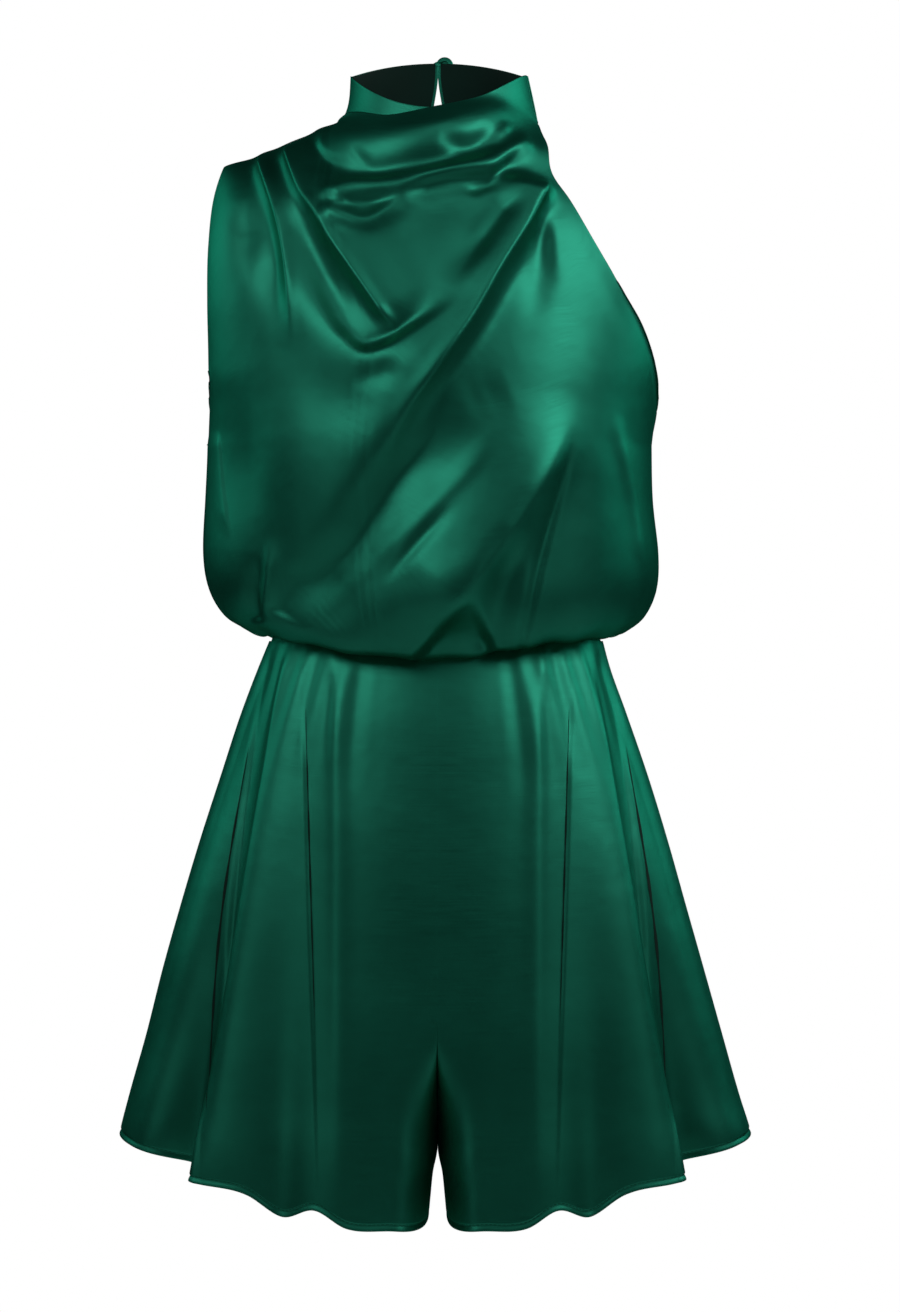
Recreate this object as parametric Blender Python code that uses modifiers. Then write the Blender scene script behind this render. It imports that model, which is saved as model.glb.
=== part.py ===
"""Sleeveless satin romper in its worn, hollow form, one solid for each piece that is cut and sewn.

+Z is up, the front faces -Y and +X is the side whose armhole is cut up to the neck. The origin is the
middle of the neck, level with the points where the shoulders meet it. The tables are in millimetres.
`drop` is a height measured downwards from the origin. "left" and "right" are as seen from the front.
"""
import math
from collections import namedtuple

import bpy
import numpy as np

COLLECTION = "satin_romper"
MM = 0.001
X, Y, Z = 0, 1, 2

# ---- driving sizes, mm ----
WALL = 1.5                   # thickness of every cloth wall
SEAM = 0.3                   # gap between two pieces at their seam
SEAM_SIDE = SEAM / 2         # distance from a seam to each of its pieces
SECTION_POWER = 2.2          # superellipse power of the rings round the body
SHOULDER_ROUNDING = 85.0     # height over which the shoulder rounds from its seam to the chest
SHOULDER_POWER = 2.2
FORM_BLEND = 6               # power that merges neck and torso into one surface
BAND_HEIGHT = (30.0, 40.5, 45.0)      # neck band at the front, the sides and the back
BAND_RIM_DROP = (-9.0, -39.5, -56.5)  # its upper edge, same places
RIM_POWER = 1.5              # how sharply the rim turns from the band's sides to its front and back
BUTTON_DIAMETER = 13.0
BUTTON_CENTRE = (5.0, -55.7)          # x and drop
BUTTON_STEPS = 20            # flats round the button
LOOP_CORD = 1.8              # diameter of the rouleau loop
LOOP_BEND = 3.3              # radius of its bend round the button's shank
LOOP_BEND_START = -0.5       # angle at which the bend starts, in radians from straight up
LOOP_BEND_POINTS = 9
PARTING_DROPS = (672.0, 747.0)        # the legs part at the centre seam; the last is the crotch
LEG_POWER = 2.2              # superellipse power of the rounding into the inseam

# ---- grid sizes: columns round the body, rows down it ----
TURN = 0.5                   # share of half a panel's columns that crowd towards the side of the body
FINE = 2                     # a grid is worked out this much finer, to place the diagonals of its squares
FRONT_COLUMNS, FRONT_UPPER_ROWS, FRONT_LOWER_ROWS = 44, 21, 14
BACK_COLUMNS, BACK_UPPER_ROWS, BACK_LOWER_ROWS = 13, 11, 10
SHORTS_COLUMNS, SHORTS_ROWS = 26, 14
BAND_COLUMNS, BAND_ROWS = 44, 2
WAISTBAND_COLUMNS = 56

# ---- materials: colour, roughness, metallic ----
SATIN = ("emerald_satin", (0.010, 0.135, 0.085, 1.0), 0.36, 0.35)
COVERED_BUTTON = ("covered_button", (0.006, 0.070, 0.045, 1.0), 0.42, 0.20)

# ---- the general figure that the romper hangs on ----
Ring = namedtuple("Ring", "drop left right front back")
TORSO = (
    Ring(-20, -170, 165, 78, 60),
    Ring(30, -168, 163, 91, 78),
    Ring(80, -174, 166, 105, 92),
    Ring(130, -175, 168, 117, 100),
    Ring(170, -172, 167, 121, 104),
    Ring(192, -171.5, 165.5, 121.5, 105),
    Ring(205, -167.5, 159.5, 121, 105),
    Ring(233, -169, 153, 120.5, 104.6),
)
NECK = (
    Ring(-60, -66.2, 66.2, 68, 61),
    Ring(-38, -66.2, 66.2, 68, 61),
    Ring(-15, -70.5, 70.5, 71, 62.4),
    Ring(-5, -73.4, 73.4, 78, 64),
    Ring(5, -76, 76, 83, 66),
    Ring(20, -84, 84, 88, 70),
    Ring(37, -97, 97, 89, 76),
    Ring(60, -120, 120, 88, 80),
    Ring(130, -120, 120, 74, 66),
    Ring(205, -120, 120, 40, 38),
    Ring(400, -120, 120, 40, 38),
)
BAND = (
    Ring(-60, -64.3, 64.3, 66, 59.2),
    Ring(-38, -64.3, 64.3, 66, 59.2),
    Ring(-15, -67, 67, 67, 60.4),
    Ring(-5, -71, 71, 68.5, 61.6),
    Ring(3, -74.5, 74.5, 69.5, 63),
    Ring(30, -80, 80, 70.5, 66),
)
SHOULDER_NECK = 78.0         # the shoulder seam runs from this far out to the shoulder's tip
ShoulderLine = namedtuple("ShoulderLine", "distance drop")     # distance from the middle of the neck
SHOULDER_LINE = (
    ShoulderLine(0, -20),
    ShoulderLine(60, -12),
    ShoulderLine(80, 0),
    ShoulderLine(107, 12),
    ShoulderLine(131, 20.5),
    ShoulderLine(157, 27),
    ShoulderLine(176, 45),
)

# ---- bodice: outlines as seen from the front, then the rings that bag over the waist ----
Point = namedtuple("Point", "x drop")
LEFT_EDGE = (     # shoulder tip, armhole, underarm
    Point(-157, 27), Point(-163.5, 50), Point(-167.2, 87), Point(-167.6, 130),
    Point(-166.8, 168), Point(-166.6, 190), Point(-167.5, 205), Point(-169, 233),
)
RIGHT_EDGE = (    # side of the collar, halter-cut armhole, underarm
    Point(66.2, -38), Point(70.7, -19), Point(73.8, -3), Point(76.5, 14), Point(80.5, 36),
    Point(95.6, 60), Point(113.9, 92), Point(133.4, 124.5), Point(146.8, 146), Point(157.6, 173),
    Point(161, 188), Point(159.5, 205), Point(153, 233),
)
FRONT_TOP = (     # pleated shoulder seam, then the lip of the cowl up to the right of the rim
    Point(-157, 27), Point(-131, 20.5), Point(-107, 12), Point(-80, 0), Point(-71, -7),
    Point(-34.5, -2), Point(-5.6, -7), Point(31, -16), Point(52, -28), Point(66.2, -38),
)
BACK_TOP_LEFT = (
    Point(-157, 27), Point(-131, 20.5), Point(-107, 12), Point(-79, 0), Point(-66, -5), Point(-36, -9),
    Point(-5, -12),
)
BACK_TOP_RIGHT = (Point(76.5, 2), Point(60, -6), Point(36, -9), Point(5, -12))
BACK_EDGE_RIGHT_START = 4    # the halter edge of the back starts at this point of RIGHT_EDGE
Keyhole = namedtuple("Keyhole", "drop half_width")
KEYHOLE = (
    Keyhole(-60, 0.3), Keyhole(-46, 0.5), Keyhole(-24, 3.7), Keyhole(-12, 6), Keyhole(15, 11.5),
    Keyhole(50, 15), Keyhole(78, 13), Keyhole(96, 7), Keyhole(104, SEAM_SIDE), Keyhole(400, SEAM_SIDE),
)
Level = namedtuple("Level", "name side_drop front_drop back_drop left right front back")
BLOUSON = (
    Level("underarm", 233, 233, 233, -169, 153, 120.5, 104.6),
    Level("ribs", 272, 272, 272, -171, 155, 121, 105.5),
    Level("low", 312, 313, 312, -172.3, 160.5, 124, 110),
    Level("belly", 338, 343, 341, -168, 159.5, 126, 112),
    Level("lobe", 357, 368, 364, -157, 151, 123, 109),
    Level("overhang", 367, 382, 378, -142, 138, 118.5, 105.5),
    Level("fold", 370.5, 386.5, 382, -132, 129.5, 113, 100.5),
    Level("tuck", 368, 380, 376, -124.5, 122.5, 106, 94),
    Level("waist", 364, 364, 364, -120, 118, 97, 87),
)
BLOUSON_RISE = (78.0, 32.0, 6.0)      # the front bag hangs higher round this x: x, width, rise
RISE_LEVELS = (3, 6)                  # places in the table of levels between which that comes in
# Gathers: how many, how high, and how unevenly they are spaced (how far they wander, and how often).
Gathers = namedtuple("Gathers", "count height wander turns")
BLOUSON_GATHERS = Gathers(9, 2.2, 0.25, 9.0)
GATHERS_GROW = (0.3, 0.7)             # share of the way from the underarm to the waist seam
GATHERS_FADE = (0.75, 0.9)
GATHERS_SIDE = 0.06                   # share of the front's width over which they die away at its sides

# Folds of the draped cloth, laid out as seen from the front: a path, the height of the ridge (a valley is
# below zero), the widths to the left and right of somebody walking along it, and the share of the path
# over which it rises at its start and dies away at its end.
Fold = namedtuple("Fold", "name path height left_width right_width rise fall")
FOLDS = (
    Fold("roll_one", ((-76, 12), (-55, 20), (-30, 19), (-3, 13), (31, 3), (62, -12)),
         8, 13, 11, 0.05, 0.25),
    Fold("between_rolls", ((-84, 41), (-33, 42), (-5, 33), (31, 27), (56, 16), (70, 8)),
         -4, 8, 8, 0.4, 0.3),
    Fold("roll_two", ((-81, 66), (-67, 53), (-42, 47), (-18, 43), (12, 36), (44, 27), (78, 14)),
         12, 10, 14, 0.35, 0),
    Fold("under_roll_two", ((-53, 80), (-13, 60), (9, 53), (31, 52), (62, 36)), -5, 10, 10, 0.4, 0.3),
    Fold("main_fold", ((77, 42), (49, 89), (24, 137), (-1, 174), (-17, 205), (-38, 239), (-62, 292),
                       (-70, 304)), 14, 15, 20, 0.05, 0.75),
    Fold("above_main_fold", ((49, 60), (33, 80), (12, 115), (-8, 142), (-27, 157)), -5, 11, 11, 0.3, 0.4),
    Fold("cowl_drape", ((-102, 76), (-85, 132), (-64, 165), (-50, 173), (-32, 169), (2, 149), (16, 132)),
         11, 13, 24, 0.35, 0.3),
    Fold("inside_drape", ((-62, 152), (-48, 160), (-28, 155), (-10, 142), (10, 118)),
         -6, 11, 11, 0.35, 0.35),
    Fold("inner_pleat", ((-103, 26), (-88, 60), (-80, 76), (-61, 104), (-43, 133), (-30, 155)),
         7, 26, 10, 0, 0.8),
    Fold("outer_pleat", ((-127, 26), (-121, 40), (-115, 66), (-110, 94), (-106, 120), (-103, 173)),
         6, 18, 10, 0, 0.8),
    Fold("halter_pleat", ((75, 52), (77, 84), (83, 104)), 3, 8, 8, 0.3, 0.5),
    Fold("waist_ridge", ((97, 201), (76, 244), (42, 299), (22, 344)), 6, 13, 18, 0.5, 0.3),
    Fold("waist_tuck", ((92, 214), (83, 252), (74, 292), (64, 344), (59, 374)), -5, 10, 10, 0.5, 0.1),
    Fold("side_ridge", ((118, 205), (131, 259), (142, 313), (148, 344)), 5, 12, 13, 0.5, 0.3),
    Fold("low_sweep", ((2, 262), (-27, 297), (-56, 330), (-107, 366)), 7, 24, 24, 0.4, 0.2),
    Fold("low_hollow", ((-70, 300), (-95, 330), (-120, 350)), -6, 18, 18, 0.4, 0.3),
    Fold("bottom_recess", ((12, 335), (14, 360), (10, 378)), -6, 11, 11, 0.5, 0),
)
FOLD_STEPS = 24              # straight steps that a fold's path is read in
RELIEF_FADE = 26.0           # how far behind a side seam the front's folds die away

# ---- shorts ----
SHORTS = (
    Ring(376, -124, 121.5, 97, 87),
    Ring(393, -131, 126, 102, 92),
    Ring(428, -144.3, 138.4, 111, 101),
    Ring(475, -159.7, 154.6, 120, 110),
    Ring(523, -175.2, 169.3, 128, 118),
    Ring(570, -189.2, 182.5, 134, 124),
    Ring(617, -202.4, 195.8, 138, 129),
    Ring(664, -214.2, 209, 142, 133),
    Ring(711, -227.4, 222.3, 145, 137),
    Ring(735, -233.5, 229.8, 147, 139),
    Ring(800, -240, 236, 149, 142),
)
SHORTS_TOP = 376.0           # drop of the seam between the waistband and the shorts
WAISTBAND = (
    Ring(364.3, -118.8, 116.8, 95.8, 85.8),
    Ring(375.7, -122.5, 120, 96.5, 86.5),
)
Hem = namedtuple("Hem", "across front_drop back_drop")      # across: 0 at the side seam, 1 at the inseam
HEM = (
    Hem(0.0, 737, 737), Hem(0.12, 750, 748), Hem(0.28, 761, 758), Hem(0.44, 769, 764), Hem(0.54, 784, 772),
    Hem(0.65, 778, 776), Hem(0.75, 790, 781), Hem(0.9, 792, 788), Hem(1.0, 794, 794),
)
SHORTS_ROW_PLACES = ((0, 0), (0.07, 0.035), (0.45, 0.68), (0.85, 0.90), (1, 1))   # closer at the crotch
InnerLeg = namedtuple("InnerLeg", "drop half_gap rounding")      # rounding: width of the turn into a leg
INNER_LEG = (
    InnerLeg(300, SEAM_SIDE, 60), InnerLeg(672, SEAM_SIDE, 60), InnerLeg(730, SEAM_SIDE, 42),
    InnerLeg(747, SEAM_SIDE, 36), InnerLeg(760, 2.8, 32), InnerLeg(780, 5, 26), InnerLeg(800, 6.8, 22),
)
# Creases that hang down a leg panel: distance from the middle of the body and height (a valley is below
# zero) at the waist, half way and at the hem, and the widths on the outer and the inner side.
CREASE_DROPS = (380, 585, 790)
Crease = namedtuple("Crease", "name at_waist at_middle at_hem waist middle hem outer_width inner_width")
FRONT_CREASES = (
    Crease("flute_valley", 125, 165, 206, -1, -12, -40, 20, 17),
    Crease("flute_edge", 107, 143, 178, 2, 4, 7, 12, 28),
    Crease("pleat_slit", 96, 88, 82, -3, -3, -1, 8, 9),
    Crease("waist_pleat", 72, 71, 70, 4, 2, 0, 9, 8),
    Crease("hem_valley", 95, 105, 113, 0, -1, -8, 17, 17),
    Crease("inner_swell", 60, 68, 74, 0, 0, 3, 22, 22),
)
BACK_CREASES = (
    Crease("flute_valley", 120, 160, 202, -1, -11, -36, 20, 17),
    Crease("flute_edge", 100, 136, 172, 2, 4, 7, 12, 26),
    Crease("second_valley", 84, 100, 118, -2, -5, -14, 17, 17),
    Crease("second_edge", 66, 74, 84, 3, 3, 6, 14, 22),
    Crease("waist_pleat", 40, 44, 46, 3, 2, 0, 9, 9),
)
WAIST_GATHERS = Gathers(7, 1.7, 0.3, 5.0)      # in each leg panel
WAIST_GATHER_REACH = 0.35    # share of the panel's length over which they die away
CREASE_EDGE = 0.04           # share of the panel's width over which creases die away at its seams
CREASE_TOP = 0.06            # share of its length over which they grow at the waist
CREASE_TOP_SHARE = 0.3       # share of their height that is left at the waist seam

# ---- covered button and its loop ----
ButtonRing = namedtuple("ButtonRing", "radius height")      # radius as a share of the button's
BUTTON_PROFILE = (
    ButtonRing(0, 9), ButtonRing(0.40, 8.7), ButtonRing(0.74, 7.7), ButtonRing(0.95, 6.0),
    ButtonRing(1, 4.4), ButtonRing(0.86, 3.1), ButtonRing(0.34, 2.7), ButtonRing(0.34, 0), ButtonRing(0, 0),
)
LoopPoint = namedtuple("LoopPoint", "x rise")               # rise above the button's centre
LOOP_UPPER_TAIL = (LoopPoint(-12, -4.2), LoopPoint(-6, -1.4), LoopPoint(-1.5, 1.4))
LOOP_LOWER_TAIL = (LoopPoint(-1, -5.0), LoopPoint(-6, -5.9), LoopPoint(-12, -7.4))


def column(table, name):
    return np.array([getattr(row, name) for row in table], dtype=float)


def smooth_curve(places, values, at):
    """Read a smooth curve through the points (places, values) at every value of `at`."""
    at = np.clip(at, places[0], places[-1])
    slopes = np.gradient(values, places)
    first = np.clip(np.searchsorted(places, at, side="right") - 1, 0, len(places) - 2)
    step = places[first + 1] - places[first]
    t = (at - places[first]) / step
    start, end = values[first], values[first + 1]
    rise = (start * (1 + 2 * t) + slopes[first] * step * t) * (1 - t) ** 2
    return rise + (end * (3 - 2 * t) + slopes[first + 1] * step * (t - 1)) * t ** 2


def read(table, name, at, key="drop"):
    return smooth_curve(column(table, key), column(table, name), np.asarray(at, dtype=float))


def smooth_step(value):
    value = np.clip(value, 0, 1)
    return value * value * (3 - 2 * value)


def fade(ends, value):
    """0 before the first of the two `ends`, 1 after the second, and a smooth step between them."""
    return smooth_step((value - ends[0]) / (ends[1] - ends[0]))


def along(points, share):
    """Places on the smooth line through `points`, where `share` runs from 0 to 1 along its length."""
    points = np.array(points, dtype=float)
    steps = np.hypot(*np.diff(points, axis=0).T)
    places = np.concatenate(([0], np.cumsum(steps))) / steps.sum()
    return np.stack([smooth_curve(places, points[:, axis], share) for axis in (0, 1)], axis=-1)


def superellipse(share, power=SECTION_POWER):
    return np.maximum(1 - np.abs(share) ** power, 0) ** (1 / power)


# ---- the form under the bodice ----

def torso_depth(x, drop, side):
    """Distance of the torso from the plane of the side seams, towards `side` (front or back)."""
    left, right = read(TORSO, "left", drop), read(TORSO, "right", drop)
    share = (x - (left + right) / 2) / ((right - left) / 2)
    seam = read(SHOULDER_LINE, "drop", np.abs(x), "distance")
    below = np.clip((drop - seam) / SHOULDER_ROUNDING, 0, 1)
    return read(TORSO, side, drop) * superellipse(share) * superellipse(1 - below, SHOULDER_POWER)


def neck_depth(x, drop, side):
    share = x / read(NECK, "right", drop)
    return read(NECK, side, drop) * superellipse(share, 2)


def bodice_depth(x, drop, side):
    torso, neck = torso_depth(x, drop, side), neck_depth(x, drop, side)
    return (torso ** FORM_BLEND + neck ** FORM_BLEND) ** (1 / FORM_BLEND)


def patch(top, bottom, start, end, across, down):
    """Fill the outline seen from the front: four edges, each a function of a share from 0 to 1."""
    u, v = across[None, :, None], down[:, None, None]
    first_row, last_row = top(across)[None], bottom(across)[None]
    first_column, last_column = start(down)[:, None], end(down)[:, None]
    corners = ((1 - u) * (1 - v) * first_row[:, :1] + u * (1 - v) * first_row[:, -1:]
               + (1 - u) * v * last_row[:, :1] + u * v * last_row[:, -1:])
    return (1 - v) * first_row + v * last_row + (1 - u) * first_column + u * last_column - corners


def upper_sheet(top, start, end, across, rows, side):
    """Bodice cloth between its top edge and the underarm level, as points in space."""
    low_left, low_right = start(np.array([1.0]))[0], end(np.array([1.0]))[0]

    def bottom(share):
        return low_left + (low_right - low_left) * share[:, None]

    down = np.linspace(0, 1, rows + 1)
    flat = patch(top, bottom, start, end, across, down)
    x, drop = flat[..., 0], flat[..., 1]
    depth = bodice_depth(x, drop, side)
    depth[0, np.abs(x[0]) >= SHOULDER_NECK] = 0
    facing = -1 if side == "front" else 1
    return np.stack([x, facing * depth, -drop], axis=-1)


def lower_sheet(low_x, rows, side):
    """Bodice cloth from the underarm level down, round the blouson's bag and up to the waist seam."""
    level = np.linspace(0, len(BLOUSON) - 1, rows + 1)[1:, None]
    index = np.arange(len(BLOUSON), dtype=float)
    ring = {name: smooth_curve(index, column(BLOUSON, name), level) for name in Level._fields[1:]}
    start = BLOUSON[0]
    share = (low_x - (start.left + start.right) / 2) / ((start.right - start.left) / 2)
    share = np.clip(share, -1, 1)[None]
    x = (ring["left"] + ring["right"]) / 2 + share * (ring["right"] - ring["left"]) / 2
    depth = ring[side] * superellipse(share)
    middle = 1 - share ** 2
    drop = ring["side_drop"] + (ring[side + "_drop"] - ring["side_drop"]) * middle
    if side == "front":
        centre, width, rise = BLOUSON_RISE
        drop = drop - rise * np.exp(-((x - centre) / width) ** 2) * fade(RISE_LEVELS, level)
        y = -depth
    else:
        y = depth
    return np.stack([x, y, -drop], axis=-1)


def surface_normals(points):
    """Unit normals of a grid of points, turned away from the grid's own vertical axis."""
    down = np.gradient(points, axis=0)
    across = np.gradient(points, axis=1)
    normals = np.cross(down, across)
    normals /= np.maximum(np.linalg.norm(normals, axis=-1, keepdims=True), 1e-9)
    outward = points - [points[..., 0].mean(), 0, points[..., 2].mean()]
    if (normals * outward).sum() < 0:
        normals = -normals
    return normals


# ---- folds ----

def fold_height(x, drop, fold):
    """Height of one fold at every point (x, drop)."""
    path = along(fold.path, np.linspace(0, 1, FOLD_STEPS + 1))
    nearest = np.full(x.shape, np.inf)
    place, offset = np.zeros(x.shape), np.zeros(x.shape)
    for step in range(FOLD_STEPS):
        begin, line = path[step], path[step + 1] - path[step]
        length = np.hypot(*line)
        to_x, to_drop = x - begin[0], drop - begin[1]
        share = np.clip((to_x * line[0] + to_drop * line[1]) / length ** 2, 0, 1)
        distance = np.hypot(to_x - share * line[0], to_drop - share * line[1])
        closer = distance < nearest
        nearest = np.where(closer, distance, nearest)
        place = np.where(closer, (step + share) / FOLD_STEPS, place)
        offset = np.where(closer, to_x * line[1] - to_drop * line[0], offset)
    width = np.where(offset > 0, fold.left_width, fold.right_width)
    taper = smooth_step(place / max(fold.rise, 1e-3)) if fold.rise else 1.0
    if fold.fall:
        taper = taper * smooth_step((1 - place) / fold.fall)
    return fold.height * taper * np.exp(-(nearest / width) ** 2)


def bodice_relief(points):
    """Folds of the bodice; behind the side seams they die away."""
    x, drop = points[..., 0], -points[..., 2]
    behind = np.clip(points[..., 1], 0, None)
    height = sum(fold_height(x, drop, fold) for fold in FOLDS)
    return height * np.exp(-(behind / RELIEF_FADE) ** 2)


def gather_wave(gathers, across):
    phase = gathers.count * across + gathers.wander * np.sin(gathers.turns * across)
    return gathers.height * np.cos(2 * math.pi * phase)


def gather_relief(columns, rows, lower_rows):
    """Small gathers that grow from the belly of the blouson down to its elastic."""
    across = np.linspace(0, 1, columns + 1)[None, :]
    growth = np.zeros(rows + 1)
    share = np.linspace(1 / lower_rows, 1, lower_rows)
    growth[-lower_rows:] = fade(GATHERS_GROW, share) * (1 - fade(GATHERS_FADE, share))
    ends = smooth_step(np.minimum(across, 1 - across) / GATHERS_SIDE)
    return gather_wave(BLOUSON_GATHERS, across) * growth[:, None] * ends


# ---- building the solids ----

def make_material(name, colour, roughness, metallic):
    material = bpy.data.materials.new(name)
    material.use_nodes = True
    shader = material.node_tree.nodes["Principled BSDF"]
    shader.inputs["Base Color"].default_value = colour
    shader.inputs["Roughness"].default_value = roughness
    shader.inputs["Metallic"].default_value = metallic
    return material


def grid_mesh(name, fine_points, normals):
    """Triangles over every second point of a fine grid, facing the way of `normals`.

    Each square is split along the diagonal that lies nearer to the fine grid's point in its middle.
    """
    points, middles = fine_points[::FINE, ::FINE], fine_points[1::FINE, 1::FINE].reshape(-1, 3)
    rows, columns = points.shape[:2]
    row, col = np.meshgrid(np.arange(rows - 1), np.arange(columns - 1), indexing="ij")
    corner = row * columns + col
    squares = np.stack([corner, corner + columns, corner + columns + 1, corner + 1], axis=-1).reshape(-1, 4)
    places = points.reshape(-1, 3)
    first, second, third, fourth = places[squares].swapaxes(0, 1)
    facing = np.cross(third - first, fourth - second) * normals[::FINE, ::FINE].reshape(-1, 3)[squares[:, 0]]
    if facing.sum() < 0:
        squares = squares[:, ::-1]
    misses = [np.linalg.norm((places[squares[:, a]] + places[squares[:, a + 2]]) / 2 - middles, axis=1)
              for a in (0, 1)]
    squares = np.where((misses[1] < misses[0])[:, None], np.roll(squares, -1, axis=1), squares)
    triangles = np.concatenate([squares[:, [0, 1, 2]], squares[:, [0, 2, 3]]])
    mesh = bpy.data.meshes.new(name)
    mesh.from_pydata((places * MM).tolist(), [], triangles.tolist())
    mesh.update()
    return mesh


def cloth_piece(name, points, normals, material, limits=(), closed=False):
    """Thicken a grid of outer points inwards by WALL and keep it inside `limits`.

    A limit is (axis, side, place): side -1 keeps the wall below `place` on that axis, +1 above it.
    `closed` welds the grid's last column to its first.
    """
    sheet = bpy.data.objects.new(name + "_sheet", grid_mesh(name, points, normals))
    bpy.context.scene.collection.objects.link(sheet)
    if closed:
        weld = sheet.modifiers.new("weld", "WELD")
        weld.merge_threshold = 0.00001
    wall = sheet.modifiers.new("wall", "SOLIDIFY")
    wall.thickness = WALL * MM
    wall.offset = -1
    graph = bpy.context.evaluated_depsgraph_get()
    mesh = bpy.data.meshes.new_from_object(sheet.evaluated_get(graph))
    bpy.data.objects.remove(sheet)
    for vertex in mesh.vertices:
        for axis, side, place in limits:
            vertex.co[axis] = side * max(side * vertex.co[axis], side * place * MM)
    return add_piece(name, mesh, material)


def add_piece(name, mesh, material):
    mesh.name = name
    mesh.materials.clear()
    mesh.materials.append(material)
    mesh.shade_smooth()
    piece = bpy.data.objects.new(name, mesh)
    bpy.data.collections[COLLECTION].objects.link(piece)
    piece.parent = bpy.data.objects[COLLECTION]
    return piece


def half_spread(columns):
    """Shares from 0 to 1 that crowd together at 0, where a panel turns round the side of the body."""
    place = np.linspace(0, 1, columns + 1)
    share = np.where(place < TURN, place ** 2 / (2 * TURN), place - TURN / 2)
    return share / share[-1]


def full_spread(columns):
    """The same, crowding together at both sides of the body."""
    half = half_spread(columns // 2)
    return np.concatenate([half, 2 - half[-2::-1]]) / 2


def front_bodice(material):
    across = full_spread(FRONT_COLUMNS * FINE)
    lower_rows = FRONT_LOWER_ROWS * FINE
    upper = upper_sheet(lambda s: along(FRONT_TOP, s), lambda s: along(LEFT_EDGE, s),
                        lambda s: along(RIGHT_EDGE, s), across, FRONT_UPPER_ROWS * FINE, "front")
    points = np.concatenate([upper, lower_sheet(upper[-1, :, X], lower_rows, "front")])
    normals = surface_normals(points)
    relief = bodice_relief(points)
    relief += gather_relief(FRONT_COLUMNS * FINE, len(points) - 1, lower_rows)
    relief[-1] = 0
    points = points + normals * relief[..., None]
    return cloth_piece("front_bodice", points, normals, material, [(Y, -1, -SEAM_SIDE)])


def back_bodice(name, side, material):
    """One back half: side -1 has the covered shoulder, +1 the halter-cut armhole."""
    across = half_spread(BACK_COLUMNS * FINE)
    outline = LEFT_EDGE if side < 0 else RIGHT_EDGE[BACK_EDGE_RIGHT_START - 1:]
    top_line = BACK_TOP_LEFT if side < 0 else BACK_TOP_RIGHT

    def centre_edge(share):
        drop = top_line[-1].drop + (BLOUSON[0].side_drop - top_line[-1].drop) * share
        return np.stack([side * read(KEYHOLE, "half_width", drop), drop], axis=-1)

    def top(share):
        line = along(top_line, share)
        end = centre_edge(np.zeros(1))[0] - line[-1]
        return line + end * share[:, None]

    def outer_edge(share):
        line = along(outline, share)
        return line + (top_line[0] - line[0]) * (1 - share[:, None])

    upper_rows = BACK_UPPER_ROWS * FINE
    upper = upper_sheet(top, outer_edge, centre_edge, across, upper_rows, "back")
    points = np.concatenate([upper, lower_sheet(upper[-1, :, X], BACK_LOWER_ROWS * FINE, "back")])
    points[upper_rows:, -1, X] = side * SEAM_SIDE
    normals = surface_normals(points)
    points = points + normals * bodice_relief(points)[..., None]
    return cloth_piece(name, points, normals, material, [(Y, 1, SEAM_SIDE), (X, side, side * SEAM_SIDE)])


def neck_band(material):
    """Upright band, a ring that is open at the centre back."""
    turn = np.linspace(0, 2 * math.pi, BAND_COLUMNS * FINE + 1)
    front = np.clip(-np.cos(turn), 0, 1) ** RIM_POWER
    back = np.clip(np.cos(turn), 0, 1) ** RIM_POWER
    rim = BAND_RIM_DROP[1] + (BAND_RIM_DROP[0] - BAND_RIM_DROP[1]) * front
    rim = rim + (BAND_RIM_DROP[2] - BAND_RIM_DROP[1]) * back
    height = BAND_HEIGHT[1] + (BAND_HEIGHT[0] - BAND_HEIGHT[1]) * front
    height = height + (BAND_HEIGHT[2] - BAND_HEIGHT[1]) * back
    drop = rim + height * np.linspace(0, 1, BAND_ROWS * FINE + 1)[:, None]
    half_width = read(BAND, "right", drop)
    gap = np.arcsin(read(KEYHOLE, "half_width", drop) / half_width)
    angle = gap + (2 * math.pi - 2 * gap) * turn / (2 * math.pi)
    depth = np.where(np.cos(angle) < 0, read(BAND, "front", drop), read(BAND, "back", drop))
    points = np.stack([half_width * np.sin(angle), depth * np.cos(angle), -drop], axis=-1)
    return cloth_piece("neck_band", points, surface_normals(points), material)


def waistband(material):
    turn = np.linspace(0, 2 * math.pi, WAISTBAND_COLUMNS * FINE + 1)
    drop = np.linspace(WAISTBAND[0].drop, WAISTBAND[-1].drop, FINE + 1)[:, None]
    share = np.cos(turn)
    left, right = read(WAISTBAND, "left", drop), read(WAISTBAND, "right", drop)
    depth = np.where(np.sin(turn) < 0, read(WAISTBAND, "front", drop), read(WAISTBAND, "back", drop))
    x = (left + right) / 2 + share * (right - left) / 2
    y = np.sign(np.sin(turn)) * depth * superellipse(share)
    points = np.stack([x, y, np.broadcast_to(-drop, x.shape)], axis=-1)
    limits = [(Z, -1, -WAISTBAND[0].drop), (Z, 1, -WAISTBAND[-1].drop)]
    return cloth_piece("waistband", points, surface_normals(points), material, limits, closed=True)


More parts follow.
